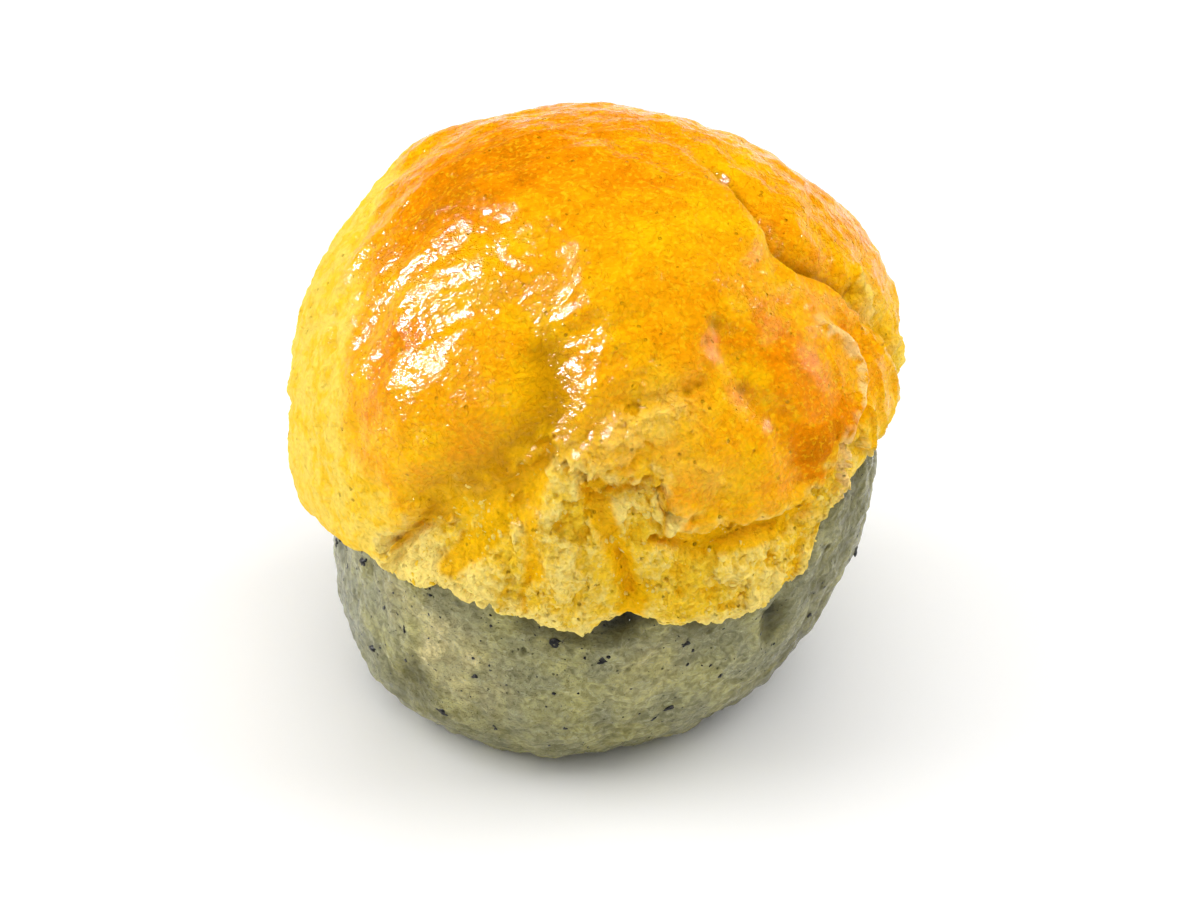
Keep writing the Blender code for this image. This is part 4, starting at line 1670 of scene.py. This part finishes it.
@dataclass
class Scatter:
    """Small lumps set on a surface, all in one mesh."""

    name: str
    surface: bpy.types.Object
    form: PuffForm
    seed: int
    subdivisions: int = 1
    sink: float = 0.1
    raggedness: float = 0.45
    outside: float = 60.0
    inside: float = 5.0
    rag_steps: float = 1.3
    rag_reach: float = 50.0
    tree: BVHTree = field(init=False)
    draw: np.random.Generator = field(init=False)
    ball: bpy.types.Mesh = field(init=False)
    lumps: list[Array] = field(init=False, default_factory=list)
    tints: list[float] = field(init=False, default_factory=list)

    def __post_init__(self) -> None:
        """Read the surface, and make the ball that every lump starts from."""
        ground = bmesh.new()
        ground.from_mesh(self.surface.data)
        self.tree = BVHTree.FromBMesh(ground)
        ground.free()
        self.ball = unit_ball("lump", self.subdivisions)
        self.draw = np.random.default_rng(self.seed)

    def add(self, bearing: float, latitude: float, size: Triple, tint: float = 0.5) -> None:
        """Set one lump on the surface.

        Args:
            bearing: where it sits, in degrees.
            latitude: where it sits, in degrees.
            size: its length, width and thickness in millimetres.
            tint: a value for its material.
        """
        way = directions_of(np.array([bearing]), np.array([latitude]))
        start, end = (Vector(self.form.place(way * radius)[0] * MM) for radius in (self.outside, self.inside))
        spot, normal, _face, _distance = self.tree.ray_cast(start, (end - start).normalized())
        turn = Matrix.Rotation(self.draw.uniform(0.0, np.pi), 4, "Z")
        stand = normal.to_track_quat("Z", "Y").to_matrix().to_4x4()
        seat = Matrix.Translation(spot - normal * self.sink * size[2] * MM)
        shape = np.array(seat @ stand @ turn @ Matrix.Diagonal(Vector(size) * (0.5 * MM)).to_4x4())
        shift = self.draw.uniform(-self.rag_reach, self.rag_reach, 3)
        unit = points_of(self.ball)
        rags = np.array([noise.noise(point) for point in (unit * self.rag_steps + shift).tolist()])
        ragged = unit * (1.0 + self.raggedness * rags)[:, None]
        self.lumps.append(ragged @ shape[:3, :3].T + shape[:3, 3])
        self.tints += [tint] * len(unit)

    def finish(self, material: bpy.types.Material, slot: str) -> bpy.types.Object:
        """Join the lumps and dress the piece.

        Args:
            material: its finish.
            slot: the record's material slot.

        Returns:
            The new object.
        """
        corners = np.array([face.vertices[:] for face in self.ball.polygons])
        starts = np.arange(len(self.lumps)) * len(self.ball.vertices)
        faces = (corners + starts[:, None, None]).reshape(-1, 3)
        mesh = bpy.data.meshes.new(self.name)
        mesh.from_pydata(np.concatenate(self.lumps).tolist(), [], faces.tolist())
        bpy.data.meshes.remove(self.ball)
        carry(mesh, Mask.TINT, np.array(self.tints))
        return dress(mesh, material, slot)


@dataclass
class DarkFlecks:
    """The larger dark flecks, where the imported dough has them, and the small specks."""

    form: PuffForm
    dough: bpy.types.Object
    front: tuple[Triple, ...] = (
        (-57.4, -19.0, 1.7), (-30.6, -42.9, 1.6), (-6.0, -19.2, 1.5), (22.2, -38.0, 1.4),
        (20.0, -40.5, 1.4), (21.5, -22.0, 1.3), (4.0, -23.0, 1.2), (31.6, -31.7, 1.0),
        (-22.5, -30.7, 0.9), (-17.2, -43.5, 0.9),
    )
    count: int = 32
    lengths: Range = (1.7, 0.9)
    width_share: float = 0.62
    thickness: float = 0.42
    latitudes: Range = (-46.0, -20.0)
    clear_of_rim: float = 7.0
    tries: int = 40
    sink: float = 0.25
    raggedness: float = 0.9
    fleck_subdivisions: int = 3
    seed: int = 7

    specks: int = 900
    speck_lengths: Range = (0.18, 0.8)
    mostly_small: float = 3.0
    speck_width_shares: Range = (0.45, 0.9)
    speck_thickness: float = 0.16
    speck_lowest: float = -52.0
    speck_clear_of_rim: float = 1.5

    def places(self) -> list[Triple]:
        """Choose where the larger flecks sit, each drawn one in the clearest of several places.

        Returns:
            Bearing, latitude and length of each fleck, front ones first.
        """
        places = list(self.front)
        draw = np.random.default_rng(self.seed)
        for length in np.linspace(*self.lengths, self.count - len(places)):
            bearings = draw.uniform(-180.0, 180.0, self.tries)
            latitudes = draw.uniform(*self.latitudes, self.tries)
            rims = round_the_bun(self.form.rim_line, bearings)
            latitudes = np.minimum(latitudes, rims - self.clear_of_rim)
            candidates = directions_of(bearings, latitudes)
            taken = directions_of(*np.array(places)[:, :2].T)
            clearest = int(np.argmin((candidates @ taken.T).max(axis=1)))
            places.append((bearings[clearest], latitudes[clearest], length))
        return places

    def set_flecks(self, leaf: bpy.types.Material) -> bpy.types.Object:
        """Set the larger flecks into the dough.

        Args:
            leaf: their finish.

        Returns:
            The piece.
        """
        flecks = Scatter(
            "dark_flecks", self.dough, self.form, self.seed + 1,
            subdivisions=self.fleck_subdivisions, sink=self.sink, raggedness=self.raggedness,
        )
        for bearing, latitude, length in self.places():
            flecks.add(bearing, latitude, (length, length * self.width_share, self.thickness))
        return flecks.finish(leaf, "speckled_dough")

    def strew_specks(self, leaf: bpy.types.Material) -> bpy.types.Object:
        """Strew the small specks evenly over the dough that shows.

        Args:
            leaf: their finish.

        Returns:
            The piece.
        """
        specks = Scatter("dark_specks", self.dough, self.form, self.seed + 3, sink=self.sink)
        draw = np.random.default_rng(self.seed + 2)
        short, long = self.speck_lengths
        for _speck in range(self.specks):
            bearing = draw.uniform(-180.0, 180.0)
            rim = float(self.form.rim_latitude(np.array([bearing]))[0])
            heights = np.sin(np.radians((self.speck_lowest, rim - self.speck_clear_of_rim)))
            latitude = math.degrees(math.asin(draw.uniform(*heights)))
            length = short + (long - short) * draw.uniform(0.0, 1.0) ** self.mostly_small
            width = length * draw.uniform(*self.speck_width_shares)
            specks.add(bearing, latitude, (length, width, self.speck_thickness))
        return specks.finish(leaf, "speckled_dough")

    def build(self) -> None:
        """Scatter the specks and flecks over the dough that shows."""
        leaf = DarkLeaf().material()
        self.strew_specks(leaf)
        self.set_flecks(leaf)


@dataclass
class CrumbGrains:
    """Loose grains on the crumb skirt and along the skin's broken edge."""

    form: PuffForm
    crust: BiscuitCrust
    surface: bpy.types.Object
    grains: int = 900
    tries: int = 8
    over_rim: Range = (1.0, 40.0)
    over_skin_edge: float = 0.3
    clumps: Waves = Waves(5.0, 1.0, 71)
    clump_edge: float = -0.1
    clump_mottle: float = 0.5
    widths: Range = (0.25, 0.85)
    mostly_small: int = 2
    length_shares: Range = (1.0, 1.4)
    thickness_shares: Range = (0.6, 0.9)
    sink: float = 0.3
    raggedness: float = 0.8
    seed: int = 23

    def build(self) -> bpy.types.Object:
        """Scatter the grains where the crumb is bare.

        Returns:
            The piece.
        """
        scatter = Scatter(
            "crust_crumbs", self.surface, self.form, self.seed, sink=self.sink, raggedness=self.raggedness,
        )
        draw = np.random.default_rng(self.seed + 1)
        bearings = draw.uniform(-180.0, 180.0, self.grains * self.tries)
        rims = self.form.rim_latitude(bearings)
        latitudes = draw.uniform(rims + self.over_rim[0], rims + self.over_rim[1])
        directions = directions_of(bearings, latitudes)
        clumped = self.clumps.over(directions * self.form.crust_across)
        clumped += draw.uniform(-self.clump_mottle, self.clump_mottle, len(clumped))
        wanted = (self.crust.over_skin_edge(directions) < self.over_skin_edge) & (clumped > self.clump_edge)
        narrow, wide = self.widths
        for index in np.nonzero(wanted)[0][: self.grains]:
            width = narrow + (wide - narrow) * draw.uniform(0.0, 1.0) ** self.mostly_small
            length = width * draw.uniform(*self.length_shares)
            thickness = width * draw.uniform(*self.thickness_shares)
            tint = draw.uniform(0.0, 1.0)
            scatter.add(bearings[index], latitudes[index], (length, width, thickness), tint)
        return scatter.finish(LooseCrumb().material(), "biscuit_crust")


class Duty(Enum):
    """What a light is for: the light that falls on the puff, or what its gloss mirrors."""

    LIGHTING = "lighting"
    GLINTS = "glints"


@dataclass(frozen=True)
class SoftBox:
    """An area light: where it stands as seen from the puff, its size, power and duty."""

    name: str
    stands_towards: Triple
    distance: float
    width: float
    height: float
    power: float
    duty: Duty = Duty.LIGHTING

    def build(self, centre: Vector) -> None:
        """Aim the light at the puff's centre.

        Args:
            centre: the puff's centre, in metres.
        """
        light = in_scene(self.name, bpy.data.lights.new(self.name, "AREA"))
        light.data.shape = "RECTANGLE"
        light.data.size = self.width
        light.data.size_y = self.height
        light.data.energy = self.power
        light.visible_glossy = self.duty is Duty.GLINTS
        light.visible_diffuse = self.duty is Duty.LIGHTING
        way = Vector(self.stands_towards).normalized()
        light.location = centre + way * self.distance
        light.rotation_euler = (-way).to_track_quat("-Z", "Y").to_euler()


@dataclass
class Studio:
    """Plain pale floor, soft lights and the camera at the photograph's viewing angle."""

    form: PuffForm
    elevation: float = 33.0
    distance: float = 430.0
    aim_right: float = 0.57
    aim_down: float = 4.94
    lens: float = 112.35
    sensor: float = 36.0
    nearest_seen: float = 0.01
    floor_half: float = 6.0
    floor_colour: Colour = (0.93, 0.93, 0.93, 1.0)
    floor_roughness: float = 0.85
    floor_gloss: float = 0.1
    soft_boxes: tuple[SoftBox, ...] = (
        SoftBox("top_light", (0.0, 0.0, 1.0), 1.2, 1.3, 1.3, 9.4),
        SoftBox("left_light", (-0.85, 0.0, 0.5), 1.2, 0.9, 0.9, 9.0),
        SoftBox("right_light", (0.75, 0.1, 0.66), 1.2, 0.9, 0.9, 8.0),
        SoftBox("back_light", (0.0, 0.75, 0.66), 1.2, 0.9, 0.9, 3.0),
        SoftBox("front_light", (0.1, -0.7, 0.7), 1.2, 0.9, 0.9, 3.7),
        SoftBox("left_window", (-0.76, 0.06, 0.62), 1.0, 0.38, 0.62, 120.0, Duty.GLINTS),
        SoftBox("right_window", (0.85, 0.12, 0.42), 1.0, 0.08, 0.13, 5.0, Duty.GLINTS),
        SoftBox("front_window", (-0.15, -0.72, 0.66), 1.0, 0.10, 0.08, 5.0, Duty.GLINTS),
    )
    dome: float = 0.03
    horizon: float = 0.9
    horizon_tops: Range = (0.03, 0.20)

    def camera(self) -> None:
        """Look down at the puff from the front."""
        rise = math.radians(self.elevation)
        centre = Vector(self.form.centre)
        back = Vector((0.0, -math.cos(rise), math.sin(rise)))
        up = Vector((0.0, math.sin(rise), math.cos(rise)))
        camera = in_scene("camera", bpy.data.cameras.new("camera"))
        camera.data.lens = self.lens
        camera.data.sensor_width = self.sensor
        camera.data.clip_start = self.nearest_seen
        camera.location = (centre + back * self.distance) * MM
        aim = (centre + Vector((self.aim_right, 0.0, 0.0)) - up * self.aim_down) * MM
        camera.rotation_euler = (aim - camera.location).to_track_quat("-Z", "Y").to_euler()
        bpy.context.scene.camera = camera

    def floor(self) -> None:
        """A wide pale floor under the puff."""
        sheet = bmesh.new()
        bmesh.ops.create_grid(sheet, x_segments=1, y_segments=1, size=self.floor_half)
        mesh = mesh_from(sheet, "floor")
        bench = ShaderBench("pale_floor")
        bench.feed(bench.shader, {
            "Base Color": self.floor_colour, "Roughness": self.floor_roughness,
            "Specular IOR Level": self.floor_gloss,
        })
        mesh.materials.append(bench.material)
        in_scene("floor", mesh)

    def room(self) -> None:
        """A room that is white near the horizon and dimmer overhead."""
        room = bpy.data.worlds.new("room")
        room.use_nodes = True
        tree = room.node_tree
        ways = tree.nodes.new("ShaderNodeTexCoord")
        parts = tree.nodes.new("ShaderNodeSeparateXYZ")
        fall = tree.nodes.new("ShaderNodeMapRange")
        fall.interpolation_type = "SMOOTHSTEP"
        fall.inputs["From Min"].default_value = self.horizon_tops[0]
        fall.inputs["From Max"].default_value = self.horizon_tops[1]
        fall.inputs["To Min"].default_value = self.horizon
        fall.inputs["To Max"].default_value = self.dome
        tree.links.new(ways.outputs["Generated"], parts.inputs["Vector"])
        tree.links.new(parts.outputs["Z"], fall.inputs["Value"])
        tree.links.new(fall.outputs["Result"], tree.nodes["Background"].inputs["Strength"])
        tree.nodes["Background"].inputs["Color"].default_value = (1.0, 1.0, 1.0, 1.0)
        bpy.context.scene.world = room

    def build(self) -> None:
        """Set up the whole studio."""
        bpy.context.scene.view_settings.view_transform = "Standard"
        self.camera()
        self.floor()
        self.room()
        for soft_box in self.soft_boxes:
            soft_box.build(Vector((0.0, 0.0, self.form.centre_height * MM)))


def main() -> None:
    """Build the puff's pieces in order, then the studio round them."""
    logging.basicConfig(level=logging.INFO, format="%(message)s")
    detail = Detail.FULL
    form = PuffForm()
    crust = BiscuitCrust(form, detail)
    crust_piece = crust.build()
    dough_piece = SpeckledDough(form, Detail.DRAFT).build()
    DarkFlecks(form, dough_piece).build()
    CrumbGrains(form, crust, crust_piece).build()
    Studio(form).build()


if __name__ == "__main__":
    main()
